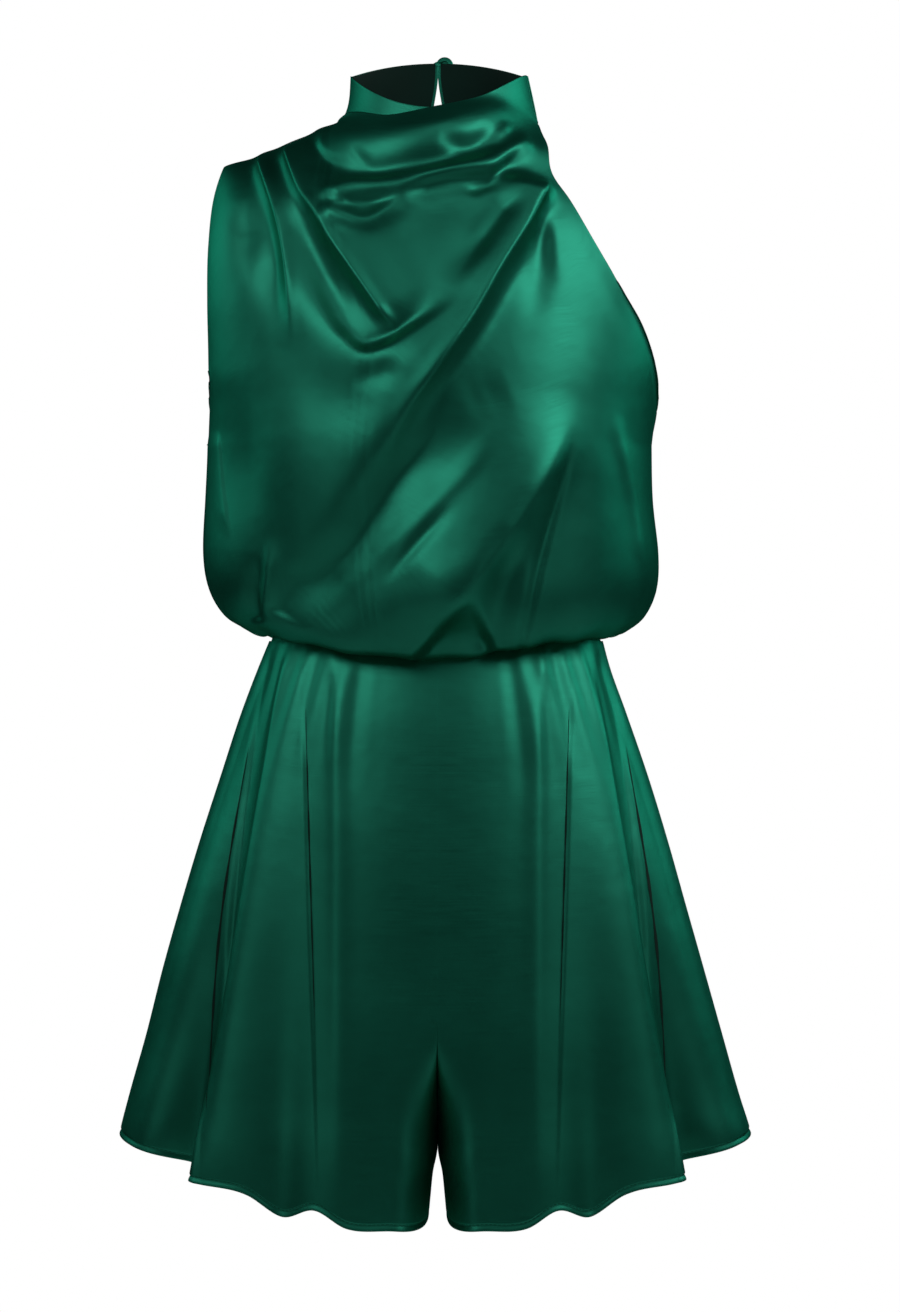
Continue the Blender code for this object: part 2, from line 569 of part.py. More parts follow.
def crease_relief(points, across, down, creases):
    """Height of the hanging creases and of the waist's gathers over a leg panel."""
    x, drop = np.abs(points[..., X]), -points[..., Z]
    drops = np.array(CREASE_DROPS, dtype=float)
    relief = np.zeros(x.shape)
    for crease in creases:
        places = np.array([crease.at_waist, crease.at_middle, crease.at_hem], dtype=float)
        heights = np.array([crease.waist, crease.middle, crease.hem], dtype=float)
        at, height = smooth_curve(drops, places, drop), smooth_curve(drops, heights, drop)
        width = np.where(x > at, crease.outer_width, crease.inner_width)
        relief += height * np.exp(-((x - at) / width) ** 2)
    relief += gather_wave(WAIST_GATHERS, across) * smooth_step(1 - down / WAIST_GATHER_REACH)
    edges = smooth_step(np.minimum(across, 1 - across) / CREASE_EDGE)
    return relief * edges * (CREASE_TOP_SHARE + (1 - CREASE_TOP_SHARE) * smooth_step(down / CREASE_TOP))


def shorts_sheet(side, half, across, down):
    """Outer points of a leg panel, from its side seam (0) round to the centre seam and inseam (1)."""
    hem = read(HEM, half + "_drop", across, "across")[None]
    across, down = across[None], down[:, None]
    drop = SHORTS_TOP + (hem - SHORTS_TOP) * down
    outer = side * read(SHORTS, "left" if side < 0 else "right", drop)
    gap = read(INNER_LEG, "half_gap", drop)
    x = outer + (gap - outer) * across
    parted = fade(PARTING_DROPS, drop)
    turned = np.clip((x - gap) / read(INNER_LEG, "rounding", drop), 0, 1)
    inner = 1 - parted + parted * superellipse(1 - turned, LEG_POWER)
    y = read(SHORTS, half, drop) * superellipse(x / outer) * inner
    facing = -1 if half == "front" else 1
    return np.stack([side * x, facing * y, -drop], axis=-1)


def shorts_panel(name, side, half, material):
    across = full_spread(SHORTS_COLUMNS * FINE)
    down = np.interp(np.linspace(0, 1, SHORTS_ROWS * FINE + 1), *zip(*SHORTS_ROW_PLACES))
    points = shorts_sheet(side, half, across, down)
    normals = surface_normals(points)
    creases = FRONT_CREASES if half == "front" else BACK_CREASES
    relief = crease_relief(points, across[None], down[:, None], creases)
    points = points + normals * relief[..., None] * [1, 1, 0]
    facing = -1 if half == "front" else 1
    limits = [(Y, facing, facing * SEAM_SIDE), (X, side, side * SEAM_SIDE), (Z, -1, -SHORTS_TOP)]
    return cloth_piece(name, points, normals, material, limits)


def nape_button(material):
    """Domed button on a short shank, turned about its own axis and facing back."""
    radius = BUTTON_DIAMETER / 2
    mesh = bpy.data.meshes.new("nape_button")
    profile = [(ring.radius * radius * MM, 0, ring.height * MM) for ring in BUTTON_PROFILE]
    mesh.from_pydata(profile, [(index, index + 1) for index in range(len(profile) - 1)], [])
    button = add_piece("nape_button", mesh, material)
    turn = button.modifiers.new("turn", "SCREW")
    turn.angle = 2 * math.pi
    turn.steps = turn.render_steps = BUTTON_STEPS
    turn.use_merge_vertices = True
    turn.merge_threshold = 0.00001
    x, drop = BUTTON_CENTRE
    button.location = (x * MM, (band_back(x, drop) + SEAM) * MM, -drop * MM)
    button.rotation_euler = (-math.pi / 2, 0, 0)
    return button


def band_back(x, drop):
    """How far back the band's outer face lies at x."""
    return float(read(BAND, "back", drop) * math.sqrt(1 - (x / read(BAND, "right", drop)) ** 2))


def button_loop(material):
    """Rouleau loop: two tails on the band's other end, and a bend round the button's shank."""
    x, drop = BUTTON_CENTRE
    turns = LOOP_BEND_START + np.linspace(0, math.pi, LOOP_BEND_POINTS)
    bend = [(x + LOOP_BEND * math.sin(turn), LOOP_BEND * math.cos(turn)) for turn in turns]
    route = [*LOOP_UPPER_TAIL, *bend, *LOOP_LOWER_TAIL]
    curve = bpy.data.curves.new("button_loop", "CURVE")
    curve.dimensions = "3D"
    curve.bevel_depth = LOOP_CORD / 2 * MM
    curve.bevel_resolution = 2
    curve.use_fill_caps = True
    line = curve.splines.new("POLY")
    line.points.add(len(route) - 1)
    for point, (along_x, rise) in zip(line.points, route):
        y = band_back(along_x, drop) + SEAM + LOOP_CORD / 2
        point.co = (along_x * MM, y * MM, (rise - drop) * MM, 1)
    curve.materials.append(material)
    loop = bpy.data.objects.new("button_loop", curve)
    bpy.data.collections[COLLECTION].objects.link(loop)
    loop.parent = bpy.data.objects[COLLECTION]
    return loop


def main():
    for old in list(bpy.data.objects):
        bpy.data.objects.remove(old)
    collection = bpy.data.collections.new(COLLECTION)
    bpy.context.scene.collection.children.link(collection)
    collection.objects.link(bpy.data.objects.new(COLLECTION, None))
    satin, covered = make_material(*SATIN), make_material(*COVERED_BUTTON)
    front_bodice(satin)
    back_bodice("back_bodice_left", -1, satin)
    back_bodice("back_bodice_right", 1, satin)
    neck_band(satin)
    nape_button(covered)
    button_loop(satin)
    waistband(satin)
    for half in ("front", "back"):
        for side, word in ((-1, "left"), (1, "right")):
            shorts_panel(f"shorts_{half}_{word}", side, half, satin)


main()
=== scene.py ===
"""Looks of the sleeveless satin romper: fine cloth surfaces, materials, light and camera.

The tables are in millimetres, in the frame of the solids: +Z up, front towards -Y, +X towards the side
whose armhole is cut up to the neck. `drop` is a height measured downwards from the origin. "left" and
"right" are as seen from the front. The cloth follows the solids' surface and adds folds, creases and
broad swells to it.
"""
import math
from collections import namedtuple

import bpy
import numpy as np
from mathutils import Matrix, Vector


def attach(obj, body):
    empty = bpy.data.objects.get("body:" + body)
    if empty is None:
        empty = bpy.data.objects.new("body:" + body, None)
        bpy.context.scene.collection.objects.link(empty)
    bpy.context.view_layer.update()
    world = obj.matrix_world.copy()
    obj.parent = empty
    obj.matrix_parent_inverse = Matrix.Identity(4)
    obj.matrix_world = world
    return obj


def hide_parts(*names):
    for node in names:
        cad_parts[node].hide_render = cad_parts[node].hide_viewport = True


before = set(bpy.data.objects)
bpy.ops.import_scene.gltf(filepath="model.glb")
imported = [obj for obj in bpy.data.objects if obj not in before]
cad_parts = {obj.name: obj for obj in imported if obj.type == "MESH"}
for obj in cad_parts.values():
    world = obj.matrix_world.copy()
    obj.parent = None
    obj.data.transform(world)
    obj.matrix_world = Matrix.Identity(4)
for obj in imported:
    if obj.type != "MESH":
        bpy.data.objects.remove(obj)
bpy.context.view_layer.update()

SCENE = bpy.context.scene
FACING = {"front": -1, "back": 1}  # the front faces -Y, and the back +Y
MM = 0.001
X, Y, Z = 0, 1, 2


def records(kind, values):
    return tuple(kind(*row) for row in values)


# ---- camera: level with the middle of the romper, far back ----
CAMERA_AIM = Vector((0.009, 0.0, -0.387))
CAMERA_DISTANCE = 3.4
VIEW_HEIGHT = 0.966  # height of the picture at the distance of the aim
SENSOR_HEIGHT = 24.0

# ---- studio: softboxes look at the aim from an azimuth (0 in front, right above 0) and a height ----
LIGHT_AIM = Vector((0.0, 0.0, -0.2))
FLOOR_HEIGHT = -1.45  # a neck is about this high above the floor
FLOOR_RADIUS, FLOOR_CORNERS = 3.2, 96
FILL_STRENGTH = 0.004  # light from all round; only the camera sees the backdrop white
SOFTBOX_DISTANCE = 2.2
Softbox = namedtuple("Softbox", "name azimuth elevation width height power")
SOFTBOXES = records(Softbox, (
    ("front_top", 6, 54, 1.5, 0.9, 2.2),
    ("right_key", 55, 29, 1.5, 1.0, 12.0),
    ("left_key", -42, 28, 1.5, 0.9, 7.4),
    ("right_side", 112, 22, 1.3, 1.4, 9.5),
    ("left_side", -108, 20, 1.5, 1.3, 5.5),
    ("right_low", 46, -6, 1.4, 0.7, 0.6),
    ("left_low", -44, -6, 1.4, 0.7, 0.9),
))

# ---- finishes ----
SATIN_DARK = (0.021, 0.26, 0.166, 1)
SATIN_LIGHT = (0.026, 0.32, 0.205, 1)
EDGE_TINT = (0.04, 0.52, 0.34, 1)  # of the sheen where the cloth is seen edge on
# the dull reverse's colour, darkened so that it is also painted shade inside the neck band and along the
# slits
REVERSE_SHADE_DARK = (0.002, 0.022, 0.015, 1)
REVERSE_SHADE_LIGHT = (0.003, 0.030, 0.021, 1)
# the thread's own dark green, made darker still as painted shade along the hem's stitch line
THREAD_SHADE_DARK = (0.001, 0.014, 0.010, 1)
THREAD_SHADE_LIGHT = (0.002, 0.026, 0.018, 1)
FLOOR_DARK = (0.78, 0.78, 0.77, 1)
FLOOR_LIGHT = (0.82, 0.82, 0.81, 1)
Sheen = namedtuple("Sheen", "roughness metallic anisotropic")
SATIN_SHEEN = Sheen(0.43, 0.92, 0.3)
BUTTON_SHEEN = Sheen(0.46, 0.8, 0.0)
ROUGHNESS_SPREAD = 0.03
Grain = namedtuple("Grain", "scale detail stretch", defaults=(2, (1, 1, 1)))  # see Nodes.noise
PATCHES = Grain(14, 3)
SLUBS = Grain(40, 3, (1, 22, 22))
FLOATS = Grain(900, 1, (4, 1, 1))
WRINKLES = Grain(32)
REVERSE_TWILL = Grain(700, 1, (1, 3, 1))
REVERSE_PATCHES = Grain(20)
THREAD_TWIST = Grain(3000, 1)
FLOOR_MOTTLE = Grain(6, 3)
NOISE_RANGE = (0.3, 0.7)
REVERSE_DULLNESS = (0.75, 0.2)  # roughness and specular level
THREAD_DULLNESS = (0.7, 0.1)
FLOOR_DULLNESS = (0.9, 0.5)
WRINKLE_HEIGHT = 0.0005  # metres, as are the next two
SLUB_HEIGHT = 0.00004
FLOAT_HEIGHT = 0.00002

# ---- sizes shared with the solids, mm ----
SECTION_POWER = 2.2  # superellipse power of the rings round the body
NECK_POWER = 2  # the same of the rings round the neck
SHOULDER_ROUNDING = 85.0  # height over which the shoulder rounds from its seam to the chest
FORM_BLEND = 6  # power that merges neck and torso into one surface
SEAM_SIDE = 0.06  # distance from a seam to each of its pieces
BAND_HEIGHT = (30.0, 40.5, 45.0)  # neck band at the front, the sides and the back
BAND_RIM_DROP = (-9.0, -39.5, -56.5)  # its upper edge, same places
RIM_POWER = 1.5  # how sharply the rim turns from the band's sides to its front and back
SHORTS_TOP = 376.0  # drop of the seam between the waistband and the shorts

# ---- grid sizes: columns round the body, rows down it ----
TURN = 0.5  # share of half a panel's columns that crowd towards the side of the body
TOP_TURN = 0.12  # share of the rows that crowd towards the shoulder seam
FRONT_COLUMNS, FRONT_UPPER_ROWS, FRONT_LOWER_ROWS = 260, 170, 120
BACK_COLUMNS, BACK_UPPER_ROWS, BACK_LOWER_ROWS = 110, 120, 90
SHORTS_COLUMNS = {"front": 260, "back": 150}
SHORTS_ROWS = 190
BAND_COLUMNS, BAND_ROWS = 240, 24
WAISTBAND_COLUMNS, WAISTBAND_ROWS = 300, 16
UNDERARM_BLEND = 40  # rows over which the upper and lower parts of a bodice sheet are smoothed
UNDERARM_SIDE = 0.07  # share of the width over which that dies away at the sides
UNDERARM_ROWS_UP = 14  # the middle of it lies this many rows above the underarm level
LINING_STEP = 2  # the reverse of the cloth uses every second row and column
LINING_DEPTH = 0.9  # how far it lies behind the face
SHORTS_LINING_DEPTH = 1.6  # the same in the shorts, whose creases are narrower

# ---- the general figure that the romper hangs on ----
Ring = namedtuple("Ring", "drop left right front back")
EvenRing = namedtuple("EvenRing", "drop half_width front back")  # the same on the left and the right
TORSO = records(Ring, (
    (-20, -170, 165, 78, 60), (30, -168, 163, 91, 78), (80, -174, 166, 105, 92),
    (130, -175, 168, 117, 100), (170, -172, 167, 121, 104), (192, -171.5, 165.5, 121.5, 105),
    (205, -167.5, 159.5, 121, 105), (233, -169, 153, 120.5, 104.6),
))
NECK = records(EvenRing, (
    (-60, 66.2, 68, 61), (-38, 66.2, 68, 61), (-15, 70.5, 71, 62.4), (-5, 73.4, 78, 64),
    (5, 76, 83, 66), (20, 84, 88, 70), (37, 97, 89, 76), (60, 120, 88, 80), (130, 120, 74, 66),
    (205, 120, 40, 38), (400, 120, 40, 38),
))
BAND = records(EvenRing, (
    (-60, 64.3, 66, 59.2), (-38, 64.3, 66, 59.2), (-15, 67, 67, 60.4), (-5, 71, 68.5, 61.6),
    (3, 74.5, 69.5, 63), (30, 80, 70.5, 66),
))
SHOULDER_NECK = 78.0  # the shoulder seam runs from this far out to the shoulder's tip
ShoulderLine = namedtuple("ShoulderLine", "distance drop")  # distance from the middle of the neck
SHOULDER_LINE = records(ShoulderLine, (
    (0, -20), (60, -12), (80, 0), (107, 12), (131, 20.5), (157, 27), (176, 45),
))

# ---- bodice: outlines as seen from the front, then the rings that bag over the waist ----
# the outlines are lines of points: x and drop
LEFT_EDGE = (  # shoulder tip, armhole, underarm
    (-157, 27), (-163.5, 50), (-167.2, 87), (-167.6, 130), (-166.8, 168), (-166.6, 190), (-167.5, 205),
    (-169, 233),
)
RIGHT_EDGE = (  # side of the collar, halter-cut armhole, underarm
    (66.2, -39.5), (70.7, -19), (73.8, -3), (76.5, 14), (80.5, 36), (95.6, 60), (113.9, 92),
    (133.4, 124.5), (146.8, 146), (157.6, 173), (161, 188), (159.5, 205), (153, 233),
)
FRONT_TOP = (  # pleated shoulder seam, then the lip of the cowl up to the right of the rim
    (-157, 27), (-131, 20.5), (-107, 12), (-80, 0), (-71, -7), (-34.5, -2), (-5.6, -7.5), (31, -17.5),
    (52, -29.5), (66.2, -39.5),
)
BACK_TOP_LEFT = ((-157, 27), (-131, 20.5), (-107, 12), (-79, 0), (-66, -5), (-36, -9), (-5, -12))
BACK_TOP_RIGHT = ((76.5, 2), (60, -6), (36, -9), (5, -12))
BACK_EDGE_RIGHT_START = 4  # the halter edge of the back starts at this point of RIGHT_EDGE
Keyhole = namedtuple("Keyhole", "drop half_width")
KEYHOLE = records(Keyhole, (
    (-60, 0.3), (-46, 0.5), (-24, 3.7), (-12, 6), (15, 11.5), (50, 15), (78, 13), (96, 7),
    (104, SEAM_SIDE), (400, SEAM_SIDE),
))
Level = namedtuple("Level", "name side_drop front_drop back_drop left right front back")
BLOUSON = records(Level, (
    ("underarm", 233, 233, 233, -169, 153, 120.5, 104.6),
    ("ribs", 272, 272, 272, -171, 155, 121, 105.5),
    ("low", 312, 313, 312, -172.3, 160.5, 124, 110),
    ("belly", 338, 343, 341, -168, 159.5, 126, 112),
    ("lobe", 357, 368, 364, -157, 151, 123, 109),
    ("overhang", 367, 382, 378, -142, 138, 118.5, 105.5),
    ("fold", 370.5, 386.5, 382, -132, 129.5, 113, 100.5),
    ("tuck", 368, 380, 376, -124.5, 122.5, 106, 94),
    ("waist", 364, 364, 364, -120, 118, 97, 87),
))
BLOUSON_RISE = (78.0, 32.0, 6.0)  # the front bag hangs higher round this x: x, width, rise
RISE_LEVELS = (3, 6)  # places in the table of levels between which that comes in
Gathers = namedtuple("Gathers", "count height wander turns")  # how many, how high and how uneven
BLOUSON_GATHERS = Gathers(9, 0.9, 0.25, 9.0)
BACK_GATHERS = Gathers(7, 2.0, 0.3, 8.0)
GATHERS_GROW = (0.3, 0.7)  # share of the way from the underarm to the waist seam
GATHERS_FADE = (0.75, 0.9)
GATHERS_SIDE = 0.06  # share of the width over which they die away at its sides

# Folds of the draped cloth, laid out as seen from the front: a path, the height of the ridge (a valley
# is below zero), the widths to the left and right of somebody walking along it, the shares of the path
# over which it rises at its start and dies away at its end, and how far the ridge leans over to the
# right of the path (to the left, below zero).
Fold = namedtuple("Fold", "name path height left_width right_width rise fall lean",
                  defaults=(0.4, 0.4, 0))
INNER_PLEAT = ((-103, 31), (-94, 54), (-83, 71), (-74, 88), (-61, 108), (-48, 127), (-37, 143),
               (-27, 157))
OUTER_PLEAT = ((-125, 34), (-117, 56), (-111, 78), (-105, 112), (-103, 135), (-101, 172))
FRONT_FOLDS = records(Fold, (
    # the two rolls of the cowl and the loop at the left end of the second
    ("roll_one", ((-79, 12), (-60, 14), (-34, 14), (-5, 10), (25, 1), (48, -8), (64, -16)), 6, 12, 15,
     0, 0.3, 0.5),
    ("roll_end", ((-84, 4), (-88, 16), (-82, 28), (-64, 36)), -3, 4, 7, 0.3),
    ("between_rolls", ((-98, 32), (-61, 39), (-30, 41), (6, 32), (50, 20), (71, 11)), -4.5, 8, 7, 0.3,
     0.3),
    ("pocket", ((-2, 12), (9, 19), (22, 20), (34, 15), (42, 7)), -3, 6, 5.5, 0.4, 0.3),
    ("pocket_corner", ((38, 17), (47, 10), (49, 0)), 1.5, 4.5, 5),
    ("dent_one", ((-62, 19), (-55, 30), (-44, 34)), -1.2, 5, 4, 0.4, 0.5),
    ("roll_two", ((-81, 64), (-73, 56), (-61, 50), (-41, 47), (-17, 42), (12, 36), (44, 26), (69, 12)),
     7, 6, 11, 0.1, 0.1, 2),
    ("loop_end", ((-82, 66), (-66, 72), (-51, 76), (-35, 68), (-17, 56)), 4, 5, 8, 0.15, 0.4, 1),
    ("in_loop", ((-72, 61), (-52, 63), (-30, 57)), -1.8, 5, 5, 0.3),
    ("under_roll_two", ((-25, 60), (-17, 54), (2, 47), (23, 45), (41, 43), (55, 28), (66, 17)), -5, 5,
     12, 0.2, 0.25),
    ("smudge", ((18, 58), (34, 50), (46, 46)), -1.5, 4, 5),
    # the fan that hangs from the neck, between the inner pleat and the main fold
    ("inner_pleat", INNER_PLEAT, 7, 24, 7, 0, 0.15, 1),
    ("inner_pleat_edge", INNER_PLEAT, 2.2, 4, 2.5, 0, 0.1, 0.5),
    ("inner_pleat_corner", ((-105, 27), (-98, 44), (-90, 60)), 3.5, 7, 2, 0, 0.7),
    ("beside_inner_pleat", ((-106, 56), (-96, 84), (-84, 110), (-68, 138), (-54, 160)), -6, 10, 13,
     0.3, 0.45),
    ("above_main_fold", ((60, 52), (48, 66), (31, 90), (16, 112), (6, 125)), -6.5, 8, 20, 0.25, 0.5),
    ("main_fold", ((78, 43), (64, 74), (42, 112), (22, 148), (1, 179), (-21, 211), (-38, 240),
     (-58, 268), (-78, 292)), 12, 9, 28, 0.06, 0.5),
    ("main_fold_edge", ((80, 42), (64, 74), (42, 112), (22, 148), (1, 179), (-21, 211), (-34, 238)),
     2.4, 3, 6, 0.06, 0.3, -1),
    ("cowl_drape", ((-100, 88), (-94, 112), (-83, 139), (-68, 161), (-51, 173), (-34, 170), (-17, 160),
     (6, 145), (22, 128)), 8, 6, 26, 0.5),
    ("in_drape", ((-62, 156), (-50, 167), (-36, 163), (-18, 152), (0, 140)), -2.2, 6, 5, 0.3),
    ("under_drape", ((-60, 187), (-41, 188), (-22, 178)), -2, 7, 9),
    # the covered shoulder
    ("outer_pleat", OUTER_PLEAT, 5, 22, 7, 0, 0.6, 1),
    ("outer_pleat_edge", OUTER_PLEAT, 2, 4, 2.5, 0, 0.5, 0.5),
    ("outer_pleat_corner", ((-127, 29), (-120, 48), (-115, 66)), 3, 7, 2, 0, 0.7),
    ("beside_outer_pleat", ((-131, 50), (-122, 88), (-116, 127), (-112, 160)), -5, 9, 14, 0.3, 0.5),
    ("shoulder_hollow", ((-143, 55), (-139, 90), (-136, 120)), -2.5, 9, 9, 0.4, 0.5),
    # the side whose armhole is cut away
    ("halter_crease", ((73, 50), (74, 90), (71, 127), (64, 158)), -3.5, 10, 9, 0.2, 0.5),
    ("halter_ridge", ((79, 56), (83, 90), (86, 125)), 1.5, 6, 6, 0.3, 0.5),
    ("under_bust", ((14, 212), (30, 206), (50, 200)), -1.5, 16, 14),
    # sweeps of the blouson from the bust to the waist
    ("main_hollow", ((20, 194), (9, 213), (-9, 240), (-27, 263), (-40, 284), (-54, 306), (-74, 328),
     (-95, 349), (-110, 368)), -12, 34, 20, 0.35, 0.25),
    ("main_hollow_foot", ((9, 213), (-9, 240), (-27, 263), (-40, 284), (-54, 306), (-74, 328)), -2.5,
     13, 7, 0.35),
    ("upper_sweep", ((46, 206), (24, 249), (-5, 282), (-43, 320), (-82, 356), (-105, 376)), 1.5, 6, 9,
     0.35, 0.2),
    ("between_sweeps", ((13, 278), (-14, 308), (-39, 340)), -2.2, 5, 4),
    ("lower_sweep", ((91, 198), (75, 242), (55, 283), (30, 326), (4, 352), (-20, 370)), 10, 14, 34,
     0.4, 0.2),
    ("lower_sweep_crest", ((85, 214), (75, 242), (55, 283), (30, 326), (4, 352)), 2.5, 7, 13, 0.4, 0.3),
    ("dart", ((90, 222), (82, 262), (71, 316), (59, 378)), -2.5, 2.5, 5, 0.3, 0),
    ("beside_dart", ((54, 296), (46, 330), (38, 374)), -7, 12, 13, 0.5, 0),
    ("side_ridge", ((120, 206), (131, 255), (144, 311), (150, 340)), 2, 6, 6, 0.3, 0.3),
    # the left side of the blouson
    ("left_seam", ((-160, 222), (-157, 262), (-150, 304)), 1.4, 1.2, 8, 0.15, 0.3),
    ("left_low_hollow", ((-96, 316), (-106, 340), (-116, 360)), -2, 12, 10, 0.4, 0.1),
    ("left_low_ridge", ((-117, 300), (-122, 333), (-126, 360)), 2.5, 5, 5, 0.4, 0.2),
    ("left_side_crease", ((-129, 312), (-132, 338), (-133, 366)), -4, 5, 8, 0.4, 0.1),
))
# Broad swells (hollows below zero) round a place: height, then how far they reach across, up and down.
Swell = namedtuple("Swell", "name x drop height across up down")
FRONT_SWELLS = records(Swell, (
    ("chest", 18, 252, 16, 100, 102, 125),
    ("right_bust", 90, 234, 7, 44, 72, 56),
    ("left_bust", -98, 222, 3, 40, 60, 40),
    ("left_hollow", -140, 252, -5, 24, 40, 50),
    ("low_left", -104, 345, -6, 34, 56, 32),
    ("left_band", -66, 270, 8, 60, 84, 64),
    ("low_middle", 4, 343, 6, 74, 92, 34),
    ("side_panel", 108, 305, 4, 26, 50, 50),
    ("drape_end", 82, 23, 4.5, 22, 13, 12),
))
# The bag is tucked in below a point at its lower edge: the point, the x that the tuck reaches on the
# left and the right at the drop `low`, its depth and half the width over which its sides step in.
Tuck = namedtuple("Tuck", "x drop left right low depth edge")
FRONT_TUCK = Tuck(24, 346, -14, 41, 388, 13, 6)
TUCK_START = (-0.1, 0.8)  # it deepens over this share of its height
TUCK_END = (0.82, 1.0)  # and dies away over this share of the way down to the waist seam
BACK_FOLDS = records(Fold, (
    ("left_blade", ((-120, 60), (-100, 140), (-84, 220), (-76, 300)), 4, 24, 18),
    ("right_blade", ((104, 110), (92, 170), (78, 240), (70, 310)), 4, 20, 22),
    ("left_shoulder_pleat", ((-112, 30), (-106, 70), (-98, 120), (-92, 160)), 5, 18, 4, 0, 0.6, 1),
    ("left_keyhole_pull", ((-24, 70), (-60, 92), (-100, 120)), -3, 8, 10, 0.3, 0.5),
    ("right_keyhole_pull", ((22, 72), (52, 92), (84, 112)), -3, 10, 8, 0.3, 0.5),
    ("left_sweep", ((-40, 210), (-70, 262), (-104, 310), (-126, 352)), 6, 13, 15, 0.4, 0.2),
    ("left_second_sweep", ((-16, 262), (-40, 306), (-70, 346), (-92, 372)), 5, 11, 13, 0.4, 0.15),
    ("right_sweep", ((46, 200), (74, 256), (100, 306), (118, 350)), 6, 14, 12, 0.4, 0.2),
    ("right_second_sweep", ((18, 256), (36, 304), (56, 346), (70, 372)), 5, 12, 10, 0.4, 0.15),
    ("left_waist_crease", ((-58, 300), (-72, 340), (-84, 378)), -6, 8, 9, 0.5, 0),
    ("right_waist_crease", ((62, 296), (76, 338), (86, 376)), -6, 9, 8, 0.5, 0),
    ("left_middle_crease", ((-24, 300), (-28, 340), (-34, 380)), -5, 8, 8, 0.5, 0),
    ("right_middle_crease", ((12, 306), (18, 344), (24, 380)), -4, 8, 8, 0.5, 0),
))
BACK_SWELLS = records(Swell, (
    ("left_shoulder_blade", -72, 120, 4, 50, 50, 60),
    ("right_shoulder_blade", 66, 130, 4, 46, 50, 60),
))
FOLD_STEPS = 40  # straight steps that a fold's path is read in
RELIEF_FADE = 26.0  # how far behind a side seam the front's folds die away
TUCK_FADE = (0.62, 0.8, 0.3)  # between two shares of the way down, folds shrink to the third

# ---- shorts ----
SHORTS = records(Ring, (
    (376, -124, 121.5, 97, 87), (393, -131, 126, 102, 92), (428, -144.3, 138.4, 111, 101),
    (475, -159.7, 154.6, 120, 110), (523, -175.2, 169.3, 128, 118), (570, -189.2, 182.5, 134, 124),
    (617, -202.4, 195.8, 138, 129), (664, -214.2, 209, 142, 133), (711, -227.4, 222.3, 145, 137),
    (735, -233.5, 229.8, 147, 139), (800, -240, 236, 149, 142),
))
WAISTBAND = records(Ring, (
    (363.5, -118.8, 116.8, 95.8, 85.8), (376.2, -122.5, 120, 96.5, 86.5),
))
Hem = namedtuple("Hem", "across front_drop back_drop")  # across: 0 at the side seam, 1 at the inseam
HEM = records(Hem, (
    (0.0, 737, 737), (0.12, 750, 748), (0.28, 761, 758), (0.44, 769, 764), (0.54, 784, 772),
    (0.65, 778, 776), (0.75, 790, 781), (0.9, 792, 788), (1.0, 794, 794),
))
SHORTS_ROW_PLACES = (  # share of the rows, and the share of the panel's length where it lies
    (0, 0), (0.07, 0.035), (0.45, 0.55), (0.82, 0.88), (0.9, 0.978), (1, 1),
)
# The inner sides of the legs are fuller than the solids', and part more slowly: half the gap between the
# legs and the width of the turn into the inseam.
InnerLeg = namedtuple("InnerLeg", "drop half_gap rounding")
INNER_LEG = records(InnerLeg, (
    (300, SEAM_SIDE, 40), (656, SEAM_SIDE, 40), (730, SEAM_SIDE, 36), (747, SEAM_SIDE, 35),
    (760, 2.8, 34), (780, 5, 31), (800, 6.8, 29),
))
LEG_POWER = 3.2  # superellipse power of that turn
PARTING_DROPS = (640.0, 748.0)  # the legs part between these; the last is the crotch
PARTING_POWER = 2
# Creases that hang down a leg panel: distance from the middle of the body and height (a valley is below
# zero) at the waist, half way and at the hem, and the widths on the outer and the inner side.
CREASE_DROPS = (380, 585, 790)
Crease = namedtuple("Crease", "name at_waist at_middle at_hem waist middle hem outer_width inner_width")
FRONT_CREASES = records(Crease, (
    ("flute_valley", 125, 160, 206, -1, -12, -40, 18, 15),
    ("flute_crease", 125, 157, 168, -1, -4, -1, 2.6, 12),
    ("flute_edge", 107, 143, 178, 3, 8, 9, 5, 26),
    ("pleat_slit", 96, 89, 82, 0, -2.2, 0, 1.8, 12),
    ("waist_pleat", 72, 71, 70, 3, 1.5, 0, 6, 8),
    ("hem_valley", 95, 105, 113, 0, -1, -8, 17, 17),
    ("inner_swell", 60, 68, 74, 0, 0, 3, 22, 22),
))
BACK_CREASES = records(Crease, (
    ("flute_valley", 120, 160, 202, -1, -11, -36, 20, 17),
    ("flute_edge", 100, 136, 172, 2, 4, 7, 10, 26),
    ("second_valley", 84, 100, 118, -2, -5, -14, 17, 17),
    ("second_edge", 66, 74, 84, 3, 3, 6, 12, 22),
    ("waist_pleat", 40, 44, 46, 3, 2, 0, 7, 7),
))
WAIST_GATHERS = Gathers(9, 0.9, 0.5, 5.0)
GATHERED_SIDES = (38.0, 66.0)  # no gathers inside the first x, full ones past the second
WAIST_GATHER_REACH = 0.35  # share of the panel's length over which they die away
CREASE_EDGE = 0.04  # share of the panel's width over which creases die away at its seams
CREASE_TOP = 0.06  # share of its length over which they grow at the waist
CREASE_TOP_SHARE = 0.3  # share of their height that is left at the waist seam

# Strips of painted shade, in the dark colour of the cloth's reverse, along two creases: the crease they
# lie in, the drops they run between and their width.
ShadeStrip = namedtuple("ShadeStrip", "crease start end width")
FRONT_SHADE_STRIPS = (ShadeStrip("pleat_slit", 424.0, 646.0, 1.5), ShadeStrip("flute_crease", 452.0, 712.0, 2.2))
SLIT_LIFT = 0.2  # height of the strip above the cloth
SLIT_TAPER = 0.7  # how bluntly it ends, the share of its width that varies, and how often
SLIT_UNEVEN = 0.25
SLIT_WAVES = 37

